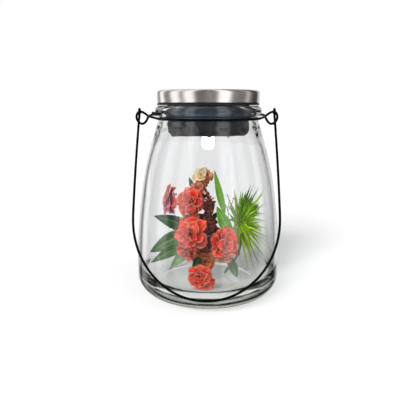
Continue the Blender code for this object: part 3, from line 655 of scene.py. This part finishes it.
def petal_rings(shape, centre, facing, radius, body, low, dice):
    """Adds one blossom's petals. They go from the body dye to the low dye towards the ones that hang."""
    turn_out = Vector(facing).normalized().to_track_quat("Z", "Y").to_matrix() * (radius / DRAWN_RADIUS)
    for ring, (count, length, width, lean, curl, foot, cup) in enumerate(RINGS):
        start = dice.uniform(0, 2 * pi)
        for k in range(count):
            turn = start + 2 * pi * (k + dice.uniform(-0.28, 0.28)) / count
            hangs = -(turn_out @ Vector((cos(turn), sin(turn), 0))).z * DRAWN_RADIUS / radius
            dye = mixed(body, low, min(1, max(0, 0.25 + 0.65 * hangs * (0.4 + 0.2 * ring))))
            dye = mixed(dye, PINK, dice.choice((0.0, 0.0, 0.12, 0.4)) * (1 - body[1]))
            # Each petal's dye is scaled by a random brightness, and by painted shade it is a little darker on
            # the inner rings, deeper in the cup.
            light = dice.uniform(0.62, 1.15) * (0.90 + 0.03 * ring)
            lie = petal_place(length * dice.uniform(0.80, 1.08), width * dice.uniform(0.85, 1.12),
                              lean + dice.uniform(-0.25, 0.25), curl, turn, foot, cup,
                              dice.uniform(0.5, 1.15), dice.uniform(0, 6))
            sheet(shape, lambda a, b: Vector(centre) + turn_out @ lie(a, b),
                  tuple(min(1, c * light) for c in dye), 8, 9)


def add_sheets(name, shape, material, slot, stands_for=(), thickness=PETAL_CLOTH):
    """Makes a piece of sheets in the jar, with their thickness half on each side."""
    piece = add_piece(name, shape, material, "jar", slot, stands_for, sharp=0)
    solid = piece.modifiers.new("Thickness", "SOLIDIFY")
    solid.thickness = thickness * MM
    solid.offset = 0


def fill_box(shape, node, swell):
    """Stretches the shape so that it fills the solid's box, swollen about its middle."""
    for axis, (low, high) in enumerate(zip(*(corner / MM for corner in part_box(node)))):
        values = [vert.co[axis] for vert in shape.verts]
        least, most = min(values), max(values)
        grow = swell * (high - low) / (most - least)
        for vert in shape.verts:
            vert.co[axis] = (low + high) / 2 + (vert.co[axis] - (least + most) / 2) * grow


HEARTS = []  # of each head: the middle of its petals, the way it faces, and its radius


def blossom(name, heads, cloth, slot):
    """One spray of petals that fills its solid's box. Each head is where, facing, radius, dyes and seed."""
    shape = bmesh.new()
    marks = []
    for centre, facing, radius, body, low, seed in heads:
        petal_rings(shape, centre, facing, radius, body, low, random.Random(seed))
        marks.append(shape.verts.new(centre))
    fill_box(shape, name, OWN_SWELL.get(name, PETALS_SWELL))
    for mark, (_, facing, radius, *_) in zip(marks, heads):
        HEARTS.append((mark.co.copy(), Vector(facing).normalized(), radius))
        shape.verts.remove(mark)
    add_sheets(f"{name}_petals", shape, cloth, slot, (name,))


def sheet_marks(material):
    """The dye of a sheet, and how far across it and along it a point is, from 0 to 1."""
    dye = add_node(material, "Attribute", {}, attribute_name="dye").outputs["Color"]
    spot = add_node(material, "SeparateXYZ", {"Vector": add_node(material, "UVMap", {}).outputs["UV"]})
    return dye, spot.outputs["X"], spot.outputs["Y"]


def from_middle(material, across):
    """How far a point is from the middle line of its sheet, up to 0.5."""
    return reckon(material, "ABSOLUTE", reckon(material, "SUBTRACT", across, 0.5))


def dyed_cloth(name, edge, roughness, heart=(0.18, 0.09, 0.09), rim_most=0.5):
    """Cloth in its own dye, darkened by painted shade at the foot of each petal and paler along parts of its
    cut edge. A pale heart colour tints the foot instead of shading it.
    """
    material, shader = new_material(name, roughness)
    dye, across, along = sheet_marks(material)
    # Painted shade: each petal darkens to the heart colour at its foot, where the petals crowd into each
    # other. The peach cloth's pale heart is its own cream colour, not shade.
    foot_shade = ramp(material, along, [(0.0, heart), (0.35, mixed(heart, (1, 1, 1), 0.45)), (0.78, 1.0)])
    deep = blend(material, 1.0, dye, foot_shade, "MULTIPLY")
    blotch = ramp(material, grain(material, 2.2, 3.0), [(0.3, (0.72, 0.60, 0.62)), (0.7, (1.1, 1.25, 1.2))])
    mottled = blend(material, 1.0, deep, blotch, "MULTIPLY")
    aside = reckon(material, "MULTIPLY", from_middle(material, across), 2.0)
    rim = ramp(material, reckon(material, "MAXIMUM", aside, along), [(0.70, 0.0), (1.0, rim_most)])
    patches = ramp(material, grain(material, 3.0, 2.0), [(0.42, 0.15), (0.60, 1.0)])
    edged = blend(material, reckon(material, "MULTIPLY", rim, patches), mottled, (*edge, 1))
    veins = reckon(material, "SINE", reckon(material, "MULTIPLY", across, PETAL_VEINS))
    relief(material, shader, reckon(material, "ADD", veins, grain(material, 0.35, 2.0)), 0.05, 0.6)
    feed(shader, {"Base Color": edged, "Sheen Weight": 0.02, "Sheen Roughness": 0.4,
                  "Specular IOR Level": 0.06, "Subsurface Weight": 0.10,
                  "Subsurface Radius": (1.0, 0.4, 0.3), "Subsurface Scale": 1.5 * MM})
    return material


CORAL = (1.0, 0.060, 0.028)
ROSE = (0.95, 0.10, 0.095)
PINK = (1.0, 0.29, 0.21)
MAUVE = (0.66, 0.20, 0.42)
ORANGE = (0.86, 0.20, 0.035)
PEACH = (1.0, 0.50, 0.20)
CREAM = (1.0, 0.94, 0.66)
APRICOT = (1.0, 0.60, 0.28)
RUST = (0.50, 0.10, 0.025)
HEADS = {  # blossom: where, facing, radius, upper dye, lower dye, seed of each of its heads
    "blossom_1": [((0, -1.5, 4.5), (-0.15, -1.0, 0.12), 10.4, CORAL, ROSE, 11),
                  ((-1.0, 1.5, -8.0), (0.15, -0.55, -0.85), 8.6, PINK, RUST, 21)],
    "blossom_2": [((0, 0, 0), (-0.80, -0.40, 0.42), 11.5, ROSE, MAUVE, 12)],
    "blossom_3": [((0, 0, 0), (0.35, -0.6, 0.70), 7.5, PINK, CORAL, 13)],
    "blossom_4": [((-1.0, 0, 1.0), (-0.1, -1.0, 0.35), 8.2, CREAM, APRICOT, 14),
                  ((5.6, 1.0, 1.5), (0.9, -0.6, 0.5), 5.0, PEACH, ORANGE, 24),
                  ((3.4, 0.5, -5.0), (0.5, -0.8, -0.3), 5.0, ORANGE, RUST, 34)],
    "blossom_5": [((0, -1.0, 3.5), (-0.10, -1.0, 0.10), 12.2, CORAL, ROSE, 15),
                  ((-3.0, 1.5, -9.0), (-0.15, -0.75, -0.65), 9.0, ROSE, PINK, 25)],
    "blossom_6": [((0, -0.5, 2.0), (0.30, -1.0, 0.05), 10.6, CORAL, CORAL, 16),
                  ((0.5, 1.5, -6.0), (0.10, -0.7, -0.7), 8.0, PINK, PINK, 26)],
    "blossom_7": [((0, 0, 0), (0.20, -0.9, -0.25), 9.0, ORANGE, ORANGE, 17)],
    "blossom_8": [((-1.0, -0.5, 3.0), (-0.15, -1.0, 0.25), 8.8, CORAL, CORAL, 18),
                  ((2.0, 0.5, -4.0), (0.30, -1.0, -0.30), 8.6, CORAL, PINK, 28)],
}
# Its default dark heart is painted shade at the foot of each petal.
petal_cloth = dyed_cloth("dyed petal cloth", (1.0, 0.50, 0.32), 0.62)
peach_cloth = dyed_cloth("peach petal cloth", (1.0, 0.36, 0.13), 0.62, heart=(1.0, 0.92, 0.75), rim_most=0.8)
for node, heads in HEADS.items():
    cloth, slot = (peach_cloth, "peach_petal") if node == "blossom_4" else (petal_cloth, "coral_petal")
    blossom(node, heads, cloth, slot)


# Eyes and calyxes: the dark eye in the heart of each head of petals with five waxed stamens round it,
# and the green plastic cup with five sepals behind it that the petals are glued to.

STAMEN_LEAN, SEPAL_LEAN = 0.5, 1.15
eye_finish = moulded("dark flower eye", (0.05, 0.006, 0.004), (0.16, 0.02, 0.01), 0.5, 0.7, 0.3)
stamen_finish = moulded("stamen wax", (0.80, 0.45, 0.10), (0.95, 0.70, 0.30), 0.4, 0.6, 0.3)
calyx_finish = moulded("green calyx", (0.03, 0.09, 0.015), (0.08, 0.18, 0.03), 0.5, 0.7, 0.5)
eyes_shape, stamens_shape, calyx_shape = bmesh.new(), bmesh.new(), bmesh.new()


def add_cone(shape, place, segments, foot_radius, tip_radius, height):
    bmesh.ops.create_cone(shape, cap_ends=True, segments=segments, radius1=foot_radius, radius2=tip_radius,
                          depth=height, matrix=place)


def up(distance):
    return Matrix.Translation((0, 0, distance))


for heart, facing, radius in HEARTS:
    girth = radius / 10
    at_heart = Matrix.Translation(heart) @ facing.to_track_quat("Z", "Y").to_matrix().to_4x4()
    bmesh.ops.create_icosphere(eyes_shape, subdivisions=2, radius=0.95 * girth, matrix=at_heart @ up(girth))
    for k in range(5):
        turn = Matrix.Rotation(2 * pi * k / 5, 4, "Z")
        stamen = turn @ Matrix.Rotation(STAMEN_LEAN, 4, "X") @ up(2.4 * girth)
        add_cone(stamens_shape, at_heart @ stamen, 6, 0.12, 0.2, 2.0 * girth)
        sepal = turn @ Matrix.Rotation(SEPAL_LEAN, 4, "X") @ up(2.0 * girth) @ Matrix.Diagonal((1, 0.3, 1, 1))
        add_cone(calyx_shape, at_heart @ up(-2.6 * girth) @ sepal, 8, 1.3 * girth, 0.15, 4.2 * girth)
    add_cone(calyx_shape, at_heart @ up(-3.2 * girth), 12, 0.9 * girth, 2.0 * girth, 2.6 * girth)
add_piece("flower_eyes", eyes_shape, eye_finish, "jar", "dark_petal")
add_piece("flower_stamens", stamens_shape, stamen_finish, "jar", "peach_petal", sharp=50)
add_piece("flower_calyxes", calyx_shape, calyx_finish, "jar", "flower_stem", sharp=50)


# Bracts and bud: crumpled maroon and dark green cloth bracts down the middle of the spray, their dyes
# darkened by painted shade, larger sheets of the same cloth behind them that are only painted shade among the
# flowers, and one peach bud standing at the top.

BRACTS = 70
PAINTED_SHADE_SHEETS = 64
BUD_FOOT = Vector((2.9, -2.0, 90.6))
# Painted shade: the bract dyes are darkened, the green nearly to black, because the middle of the spray lies
# in shade.
SHADED_GREEN_BRACT, SHADED_MAROON_BRACT = (0.010, 0.035, 0.008), (0.36, 0.045, 0.018)
# Painted shade: dyes of the dark sheets that fill the shaded gaps behind the blossoms.
PAINTED_SHADE_GREEN, PAINTED_SHADE_MAROON = (0.012, 0.050, 0.010), (0.30, 0.040, 0.018)
# Its dark heart is painted shade at the foot of each bract.
bract_cloth = dyed_cloth("maroon bract cloth", (0.60, 0.10, 0.04), 0.7, (0.21, 0.12, 0.12))


def turned_sheet(shape, foot, twist, lie, dye):
    """Adds a petal-like sheet, turned and set on its foot."""
    sheet(shape, lambda a, b: foot + twist @ lie(a, b), dye, 5, 7)


dice = random.Random(31)
bract_shape = bmesh.new()
for k in range(BRACTS):
    share = k / (BRACTS - 1)
    turn = -pi / 2 + dice.gauss(0, 0.9)
    foot = Vector((dice.uniform(-1.5, 4.5), dice.uniform(-7.0, -3.5), 41.0 + 34 * share))
    lie = petal_place(dice.uniform(3.4, 5.0), dice.uniform(5.0, 7.0), dice.uniform(0.3, 0.9), 1.0, 0.0, 0.0,
                      0.3, 0.6, dice.uniform(0, 6))
    twist = Matrix.Rotation(turn, 3, "Z") @ Matrix.Rotation(dice.uniform(-0.7, 0.9), 3, "Y")
    shade = dice.uniform(0.4, 1.3)
    dye = SHADED_GREEN_BRACT if dice.random() > 0.35 + 0.6 * share else SHADED_MAROON_BRACT
    turned_sheet(bract_shape, foot, twist, lie, tuple(c * shade for c in dye))
fill_box(bract_shape, "dark_bract", PETALS_SWELL)
add_sheets("dark_bracts", bract_shape, bract_cloth, "dark_petal", ("dark_bract",))

# Painted shade: dark sheets put behind the bracts and blossoms where there is only shade among the flowers,
# not real leaves.
painted_shade_shape = bmesh.new()
for k in range(PAINTED_SHADE_SHEETS):
    foot = Vector((dice.uniform(-11, 5), dice.uniform(-4.5, 3.5), 36 + 42 * (k / (PAINTED_SHADE_SHEETS - 1))))
    lie = petal_place(dice.uniform(6, 9), dice.uniform(6, 8.5), dice.uniform(0.2, 0.7), 0.8, -pi / 2, 0.0,
                      0.2, 0.6, dice.uniform(0, 6))
    twist = Matrix.Rotation(dice.uniform(0, 2 * pi), 3, "Y")
    twist = twist @ Matrix.Rotation(dice.uniform(-0.4, 0.4), 3, "X")
    shade = dice.uniform(0.5, 1.4)
    dye = PAINTED_SHADE_GREEN if dice.random() < 0.4 else PAINTED_SHADE_MAROON
    turned_sheet(painted_shade_shape, foot, twist, lie, tuple(c * shade for c in dye))
add_sheets("painted_shade_sheets", painted_shade_shape, bract_cloth, "dark_petal")

bud_shape = bmesh.new()
for k in range(5):
    lie = petal_place(6.8, 3.8, 0.28, -0.42, 2 * pi * k / 5, 0.0, 0.6, 0.2, k)
    turned_sheet(bud_shape, BUD_FOOT, Matrix.Identity(3), lie, mixed(PEACH, PINK, 0.2 * k))
add_sheets("peach_bud", bud_shape, petal_cloth, "peach_petal", ("flower_bud",))


# Leaves: printed green cloth over a moulded midrib, folded a little along it, some with a toothed
# edge. Narrow bright blades stand up behind the blossoms.

LEAF_CLOTH = 0.3
LEAF_FOLD = 0.32
SIDE_VEINS = 58.0
VEIN_SLANT = -0.6
DARK_GREEN = (0.022, 0.100, 0.024)
GREY_GREEN = (0.085, 0.180, 0.065)
PALE_GREEN = (0.20, 0.34, 0.15)
BRIGHT_GREEN = (0.12, 0.34, 0.010)
LEAVES = [  # node, then (foot, tip, width, droop, teeth, dye) of each blade on it
    ("leaf_1", [((-8.0, 2.0, 46.0), (-43.9, -5.0, 61.8), 12.5, 1.5, 13, DARK_GREEN)]),
    ("leaf_2", [((-12.0, -7.0, 47.0), (-46.4, -13.0, 33.6), 14.5, 3.0, 0, GREY_GREEN),
                ((-12.0, -8.5, 42.0), (-45.6, -15.0, 25.3), 9.5, 1.5, 0, GREY_GREEN),
                ((-10.0, -9.0, 50.0), (-24.0, -12.0, 44.0), 8.0, 1.0, 0, DARK_GREEN)]),
    ("leaf_3", [((-10.5, -10.5, 38.5), (-29.8, -20.0, 22.4), 9.5, 2.0, 0, PALE_GREEN)]),
    ("leaf_4", [((-6.5, -17.5, 31.0), (-12.0, -19.0, 18.0), 6.0, 0.8, 0, DARK_GREEN)]),
    ("leaf_5", [((-11.0, 7.0, 79.0), (-15.8, 5.5, 92.0), 4.0, 0.4, 0, GREY_GREEN)]),
    ("leaf_6", [((14.0, -6.5, 64.0), (5.2, -6.5, 99.5), 5.6, -1.2, 0, BRIGHT_GREEN)]),
    ("leaf_7", [((19.0, -11.0, 48.5), (7.4, -10.0, 71.0), 9.5, -1.0, 0, BRIGHT_GREEN)]),
    ("leaf_8", [((17.5, -10.0, 31.5), (24.5, -12.0, 11.8), 7.4, -1.0, 0, GREY_GREEN)]),
]


def leaf_place(foot, tip, width, droop, teeth):
    """How a leaf lies between its foot and its tip, its face turned mostly to the front."""
    foot, tip = Vector(foot), Vector(tip)
    along_way = (tip - foot).normalized()
    across_way = Vector((0, -1, 0)).cross(along_way).normalized()
    face_way = along_way.cross(across_way)

    def place(across, along):
        half_width = width / 2 * max(0.05, sin(pi * min(along, 0.998) ** 0.85) ** 0.8)
        if teeth and abs(across) > 0.7:
            half_width *= 0.90 + 0.14 * ((along * teeth) % 1.0)
        side = across * half_width
        rise = LEAF_FOLD * abs(side) + 0.35 * sin(9 * along + 3 * across) * abs(across)
        sag = Vector((0, 0, droop)) * sin(pi * along)
        return foot.lerp(tip, along) + across_way * side + face_way * rise + sag
    return place


def leaf_finish(name):
    """Cloth or plastic leaf in its own dye, with a pale midrib and slanting side veins."""
    material, shader = new_material(name, 0.5)
    dye, across, along = sheet_marks(material)
    aside = from_middle(material, across)
    slant = reckon(material, "MULTIPLY_ADD", aside, VEIN_SLANT, along)
    veins = reckon(material, "SINE", reckon(material, "MULTIPLY", slant, SIDE_VEINS))
    vein_shade = ramp(material, veins, [(0.0, 0.78), (0.7, 1.0), (0.95, 1.35)])
    blotch = ramp(material, grain(material, 3.0, 3.0), [(0.3, (0.62, 0.72, 0.60)), (0.7, (1.2, 1.12, 1.15))])
    veined = blend(material, 1.0, dye, vein_shade, "MULTIPLY")
    mottled = blend(material, 1.0, veined, blotch, "MULTIPLY")
    midrib = ramp(material, aside, [(0.0, 0.55), (0.05, 0.0)])
    feed(shader, {"Base Color": blend(material, midrib, mottled, (0.42, 0.52, 0.36, 1)),
                  "Specular IOR Level": 0.12})
    relief(material, shader, veins, 0.12, 0.6)
    return material


leaf_cloth = leaf_finish("printed leaf cloth")
for node, blades in LEAVES:
    leaf_shape = bmesh.new()
    for foot, tip, width, droop, teeth, dye in blades:
        sheet(leaf_shape, leaf_place(foot, tip, width, droop, teeth), dye, 8, 44 if teeth else 20)
    add_sheets(f"{node}_cloth", leaf_shape, leaf_cloth, "leaf", (node,), LEAF_CLOTH)


# Stems: green-brown plastic moulded over wire, with a knot wherever a stalk leaves, and fine twiggy
# sprigs beside the grass.

STEM_RADIUS = 1.2
STALK_RADIUS = 0.7
KNOT_RADIUS = 1.5
SPRIG_RADIUS = 0.3
SPRIG_BUD_RADIUS = 0.75
STEM_ROUTE = [(1.5, -1.0, 9.4), (3.0, 2.5, 30.0), (2.0, 4.0, 55.0), (0.5, 5.0, 75.0), (-3.4, 6.4, 84.0)]
STALK_ROUTES = {
    "flower_stalk_1": [(0.9, 4.8, 62.0), (-6.0, 0.0, 69.0), (-12.0, -12.0, 75.6)],
    "flower_stalk_2": [(2.0, 4.0, 55.0), (-12.0, 0.0, 62.0), (-26.0, -8.0, 74.0)],
    "flower_stalk_3": [(0.8, 4.9, 72.0), (-3.5, 2.6, 75.5), (-8.0, -0.4, 80.5)],
    "flower_stalk_5": [(2.7, 3.2, 40.0), (-6.0, -6.0, 43.6), (-12.4, -21.0, 50.0)],
    "flower_stalk_6": [(2.9, 2.9, 35.0), (7.0, -6.0, 40.0), (12.2, -18.5, 44.2)],
    "flower_stalk_7": [(2.4, 0.8, 19.0), (0.6, -3.0, 20.5), (-2.2, -6.4, 26.6)],
    "flower_stalk_8": [(2.1, 0.3, 15.5), (0.0, -14.0, 14.6), (-5.0, -35.0, 21.6)],
}
SPRIGS = [[(17, -4, 58), (16.5, -4, 66), (13.5, -4, 73)], [(16.6, -4, 66), (19.5, -5, 72), (21, -5, 76.5)],
          [(16.2, -4, 68), (17.5, -4, 75), (16, -4, 79)], [(15.2, -4, 70), (11.5, -4, 72.4), (10.6, -4, 76)]]
stem_plastic = moulded("moulded stem", (0.070, 0.085, 0.018), (0.155, 0.16, 0.05), 0.5, 0.7, 0.5, 0.06)


def add_stem(shape, route, radius, sides, per_span=8, knot=0.0, knot_at=0, roundness=2):
    """Adds a moulded wire along a route, with a knot of that radius at one of its points."""
    wire(shape, smooth_line(route, per_span), radius, sides=sides)
    if knot:
        bmesh.ops.create_icosphere(shape, subdivisions=roundness, radius=knot,
                                   matrix=Matrix.Translation(route[knot_at]))


stem_shape = bmesh.new()
add_stem(stem_shape, STEM_ROUTE, STEM_RADIUS, 10)
add_wires("main_stem", stem_shape, stem_plastic, "jar", "flower_stem", ("flower_stem",))
for node, route in STALK_ROUTES.items():
    stalk_shape = bmesh.new()
    add_stem(stalk_shape, route, STALK_RADIUS, 8, knot=KNOT_RADIUS)
    add_wires(f"{node}_wire", stalk_shape, stem_plastic, "jar", "flower_stem", (node,))
sprig_shape = bmesh.new()
for route in SPRIGS:
    add_stem(sprig_shape, route, SPRIG_RADIUS, 5, per_span=4, knot=SPRIG_BUD_RADIUS, knot_at=-1, roundness=1)
add_wires("twig_sprigs", sprig_shape, stem_plastic, "jar", "flower_stem")


# Grass: a moulded plastic pick of thin bright blades that burst from one point, each blade creased
# along its middle and drooping to a fine tip.

GRASS_HEART = Vector((26.3, 3.0, 52.2))
GRASS_TIPS = [(50, 3, 83), (42, 2, 85), (35, 1, 87), (21.6, 2, 83), (27.5, 4, 81), (17, 1, 77), (50.5, 4, 71),
              (48.5, 2, 55.5), (51, 3, 49.4), (53, 2, 42.4), (51.5, 2, 32.6), (49, 3, 24), (44, 2, 19),
              (40, 2, 13.5), (34.5, 3, 14), (27.8, 3, 21.5), (46, 6, 78), (38, 8, 84), (47, 0, 63)]
GRASS_BLADES = 190
GRASS_FRONT_BLADES = 44
BLADE_THICKNESS = 0.25
JAR_ROOM = 51.0
JAR_ROOM_FROM, JAR_ROOM_TAPER = 45, 0.10
GRASS_GREEN, UPRIGHT_GREEN = (0.330, 0.560, 0.008), (0.050, 0.230, 0.012)
PICK_ROUTE = [(14.5, 2.5, 9.9), (17.5, 4.0, 13.5), (24.0, 6.0, 21.0), (28.0, 5.0, 34.0), tuple(GRASS_HEART)]
dice = random.Random(7)
grass_low, grass_high = (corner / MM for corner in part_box("grass_tuft"))
grass_middle = (grass_low + grass_high) / 2
grass_half = (grass_high - grass_low) / 2


def blade_place(root, tip, width, droop):
    """How one blade of grass lies: straight out from the heart, then drooping to its tip."""
    way = (tip - root).normalized()
    side_way = way.cross(Vector((0, -0.9, 0.3))).normalized()
    crease = way.cross(side_way)

    def place(across, along):
        half_width = width / 2 * (0.6 + 0.4 * sin(pi * min(1, along * 1.2))) * (1 - along**3.5) + 0.05
        folded = side_way * across * half_width + crease * abs(across) * half_width * 0.5
        return root.lerp(tip, along) + folded + Vector((0, 0, droop)) * sin(pi * along)
    return place


def in_jar(tip):
    """The tip, moved back towards the jar's axis where it would touch the glass."""
    room = JAR_ROOM - max(0.0, tip.z - JAR_ROOM_FROM) * JAR_ROOM_TAPER
    out = sqrt(tip.x**2 + tip.y**2)
    return Vector((tip.x * min(1, room / out), tip.y * min(1, room / out), tip.z))


grass_shape = bmesh.new()
tips = [Vector(tip) for tip in GRASS_TIPS]
while len(tips) < GRASS_BLADES:
    if len(tips) % 5 < 3:
        rise = radians(dice.triangular(8, 118, 58))
        way = Vector((cos(rise), dice.gauss(-0.1, 0.3), sin(rise))).normalized()
    else:
        way = Vector((dice.gauss(0.3, 1), dice.gauss(-0.1, 0.85), dice.gauss(-0.2, 1))).normalized()
    reach = dice.uniform(0.62, 1.0)
    tips.append(grass_middle + Vector(w * h for w, h in zip(way, grass_half)) * reach)
for k in range(GRASS_FRONT_BLADES):
    way = Vector((dice.gauss(0.2, 1), -abs(dice.gauss(0.9, 0.5)), dice.gauss(0.1, 1))).normalized()
    tips.append(GRASS_HEART + way * dice.uniform(8, 14))
for tip in tips:
    tip = in_jar(tip)
    way = (tip - GRASS_HEART).normalized()
    upright = max(0.0, way.z)
    shade = dice.uniform(0.5, 1.3)
    dye = mixed(GRASS_GREEN, UPRIGHT_GREEN, min(1, 0.8 * upright * dice.uniform(0.0, 1.3)))
    lie = blade_place(GRASS_HEART + way * dice.uniform(0.6, 2.4), tip, dice.uniform(1.2, 1.9) + 0.5 * upright,
                      dice.uniform(-1.0, 5.0) * (1 - 0.5 * upright))
    sheet(grass_shape, lie, tuple(c * shade for c in dye), 2, 8)
grass_plastic, grass_shader = new_material("moulded grass", 0.42)
dye, _, along = sheet_marks(grass_plastic)
tip_shade = ramp(grass_plastic, along, [(0.0, (1.35, 1.15, 1.0)), (0.3, (1.1, 1.05, 1.0)),
                                        (0.8, (0.85, 0.9, 1.0)), (1.0, (0.6, 0.6, 0.9))])
shaded = blend(grass_plastic, 1.0, dye, tip_shade, "MULTIPLY")
streak = ramp(grass_plastic, grain(grass_plastic, 1.4, 2.0), [(0.3, 0.8), (0.7, 1.15)])
feed(grass_shader, {"Base Color": blend(grass_plastic, 1.0, shaded, streak, "MULTIPLY"),
                    "Specular IOR Level": 0.12, "Subsurface Weight": 0.1, "Subsurface Scale": 1.0 * MM})
relief(grass_plastic, grass_shader, grain(grass_plastic, 0.7, 2.0), 0.05)
add_sheets("grass_blades", grass_shape, grass_plastic, "grass", ("grass_tuft",), BLADE_THICKNESS)
grass_stem_shape = bmesh.new()
add_stem(grass_stem_shape, PICK_ROUTE, 1.0, 10, knot=KNOT_RADIUS, knot_at=-1)
add_wires("grass_pick_stem", grass_stem_shape, stem_plastic, "jar", "grass", ("grass_stem",))


# Floor, light and surroundings: a plain pale floor, one broad soft sun from the front left, a weaker
# fill, and a white room. Mirrored rays find grey walls between tall bright windows in its place, and
# pass through the floor to them.

FLOOR_HALF_SIZE = 12.0  # in metres
ROOM_LIGHT = (0.34, 0.34, 0.35, 1)
WINDOWS = [  # uprights round the room: (degrees from the front towards the right, brightness)
    (-180, 0.95), (-152, 0.85), (-145, 0.20), (-135, 0.20), (-131, 1.25), (-117, 1.25), (-112, 0.18),
    (-92, 0.26), (-88, 1.25), (-70, 1.25), (-65, 0.30), (-57, 0.30), (-52, 1.25), (-34, 1.25), (-28, 0.10),
    (-8, 0.18), (4, 0.30), (18, 0.12), (26, 1.35), (48, 1.35), (53, 0.24), (88, 0.18), (95, 0.60),
    (101, 0.60), (106, 0.18), (119, 0.06), (136, 0.04), (146, 0.7), (180, 0.95)]


def mirrored(material):
    """1 for rays that a shiny thing has mirrored, and 0 for all the others."""
    path = add_node(material, "LightPath", {}).outputs
    return reckon(material, "MINIMUM", path["Glossy Depth"], 1.0)


def add_sun(name, strength, angle, azimuth, elevation):
    """A sun from an azimuth, in degrees from the front towards the right, and an elevation."""
    data = bpy.data.lights.new(name, "SUN")
    data.energy = strength
    data.angle = radians(angle)
    lamp = bpy.data.objects.new(name, data)
    lamp.rotation_euler = (radians(90 - elevation), 0, radians(azimuth))
    lamp.visible_glossy = False
    lamp.visible_transmission = False
    bpy.context.scene.collection.objects.link(lamp)


def wall(degrees, brightness):
    """A stop of the room's ramp. Its dimmer parts are a little warmer."""
    blue = brightness * (1.0 if brightness > 0.6 else 0.93)
    return (degrees + 180) / 360, (brightness, (brightness + blue) / 2, blue)


floor_mesh = bpy.data.meshes.new("floor")
floor_shape = bmesh.new()
bmesh.ops.create_grid(floor_shape, x_segments=1, y_segments=1, size=FLOOR_HALF_SIZE)
floor_shape.to_mesh(floor_mesh)
floor_shape.free()
floor = bpy.data.objects.new("floor", floor_mesh)
bpy.context.scene.collection.objects.link(floor)
paper, paper_shader = new_material("pale floor", 0.9)
feed(paper_shader, {"Specular IOR Level": 0.0, "Base Color": (0.92, 0.92, 0.92, 1)})
mix_surfaces(paper, mirrored(paper), paper_shader, add_node(paper, "BsdfTransparent", {}))
floor_mesh.materials.append(paper)

add_sun("key", 3.7, 30, -28, 38)
add_sun("fill", 0.7, 60, 60, 30)

world = bpy.data.worlds.new("studio")
bpy.context.scene.world = world
world.use_nodes = True
way = add_node(world, "SeparateXYZ", {0: add_node(world, "TexCoord", {}).outputs["Generated"]}).outputs
azimuth = reckon(world, "ARCTAN2", way["X"], reckon(world, "MULTIPLY", way["Y"], -1.0))
round_share = add_node(world, "MapRange", {0: azimuth, 1: -pi, 2: pi}).outputs[0]
room = ramp(world, round_share, [wall(*stop) for stop in WINDOWS])
is_diffuse = add_node(world, "LightPath", {}).outputs["Is Diffuse Ray"]
plain = blend(world, is_diffuse, (1, 1, 1, 1), ROOM_LIGHT)
feed(world.node_tree.nodes["Background"], {"Color": blend(world, mirrored(world), plain, room)})
world.cycles.sampling_method = "NONE"
scene = bpy.context.scene
scene.view_settings.view_transform = "Standard"
scene.cycles.use_denoising = True
scene.cycles.max_bounces = 16
scene.cycles.transmission_bounces = 14
scene.cycles.transparent_max_bounces = 24
scene.cycles.glossy_bounces = 6
scene.cycles.diffuse_bounces = 4
scene.cycles.sample_clamp_indirect = 6.0
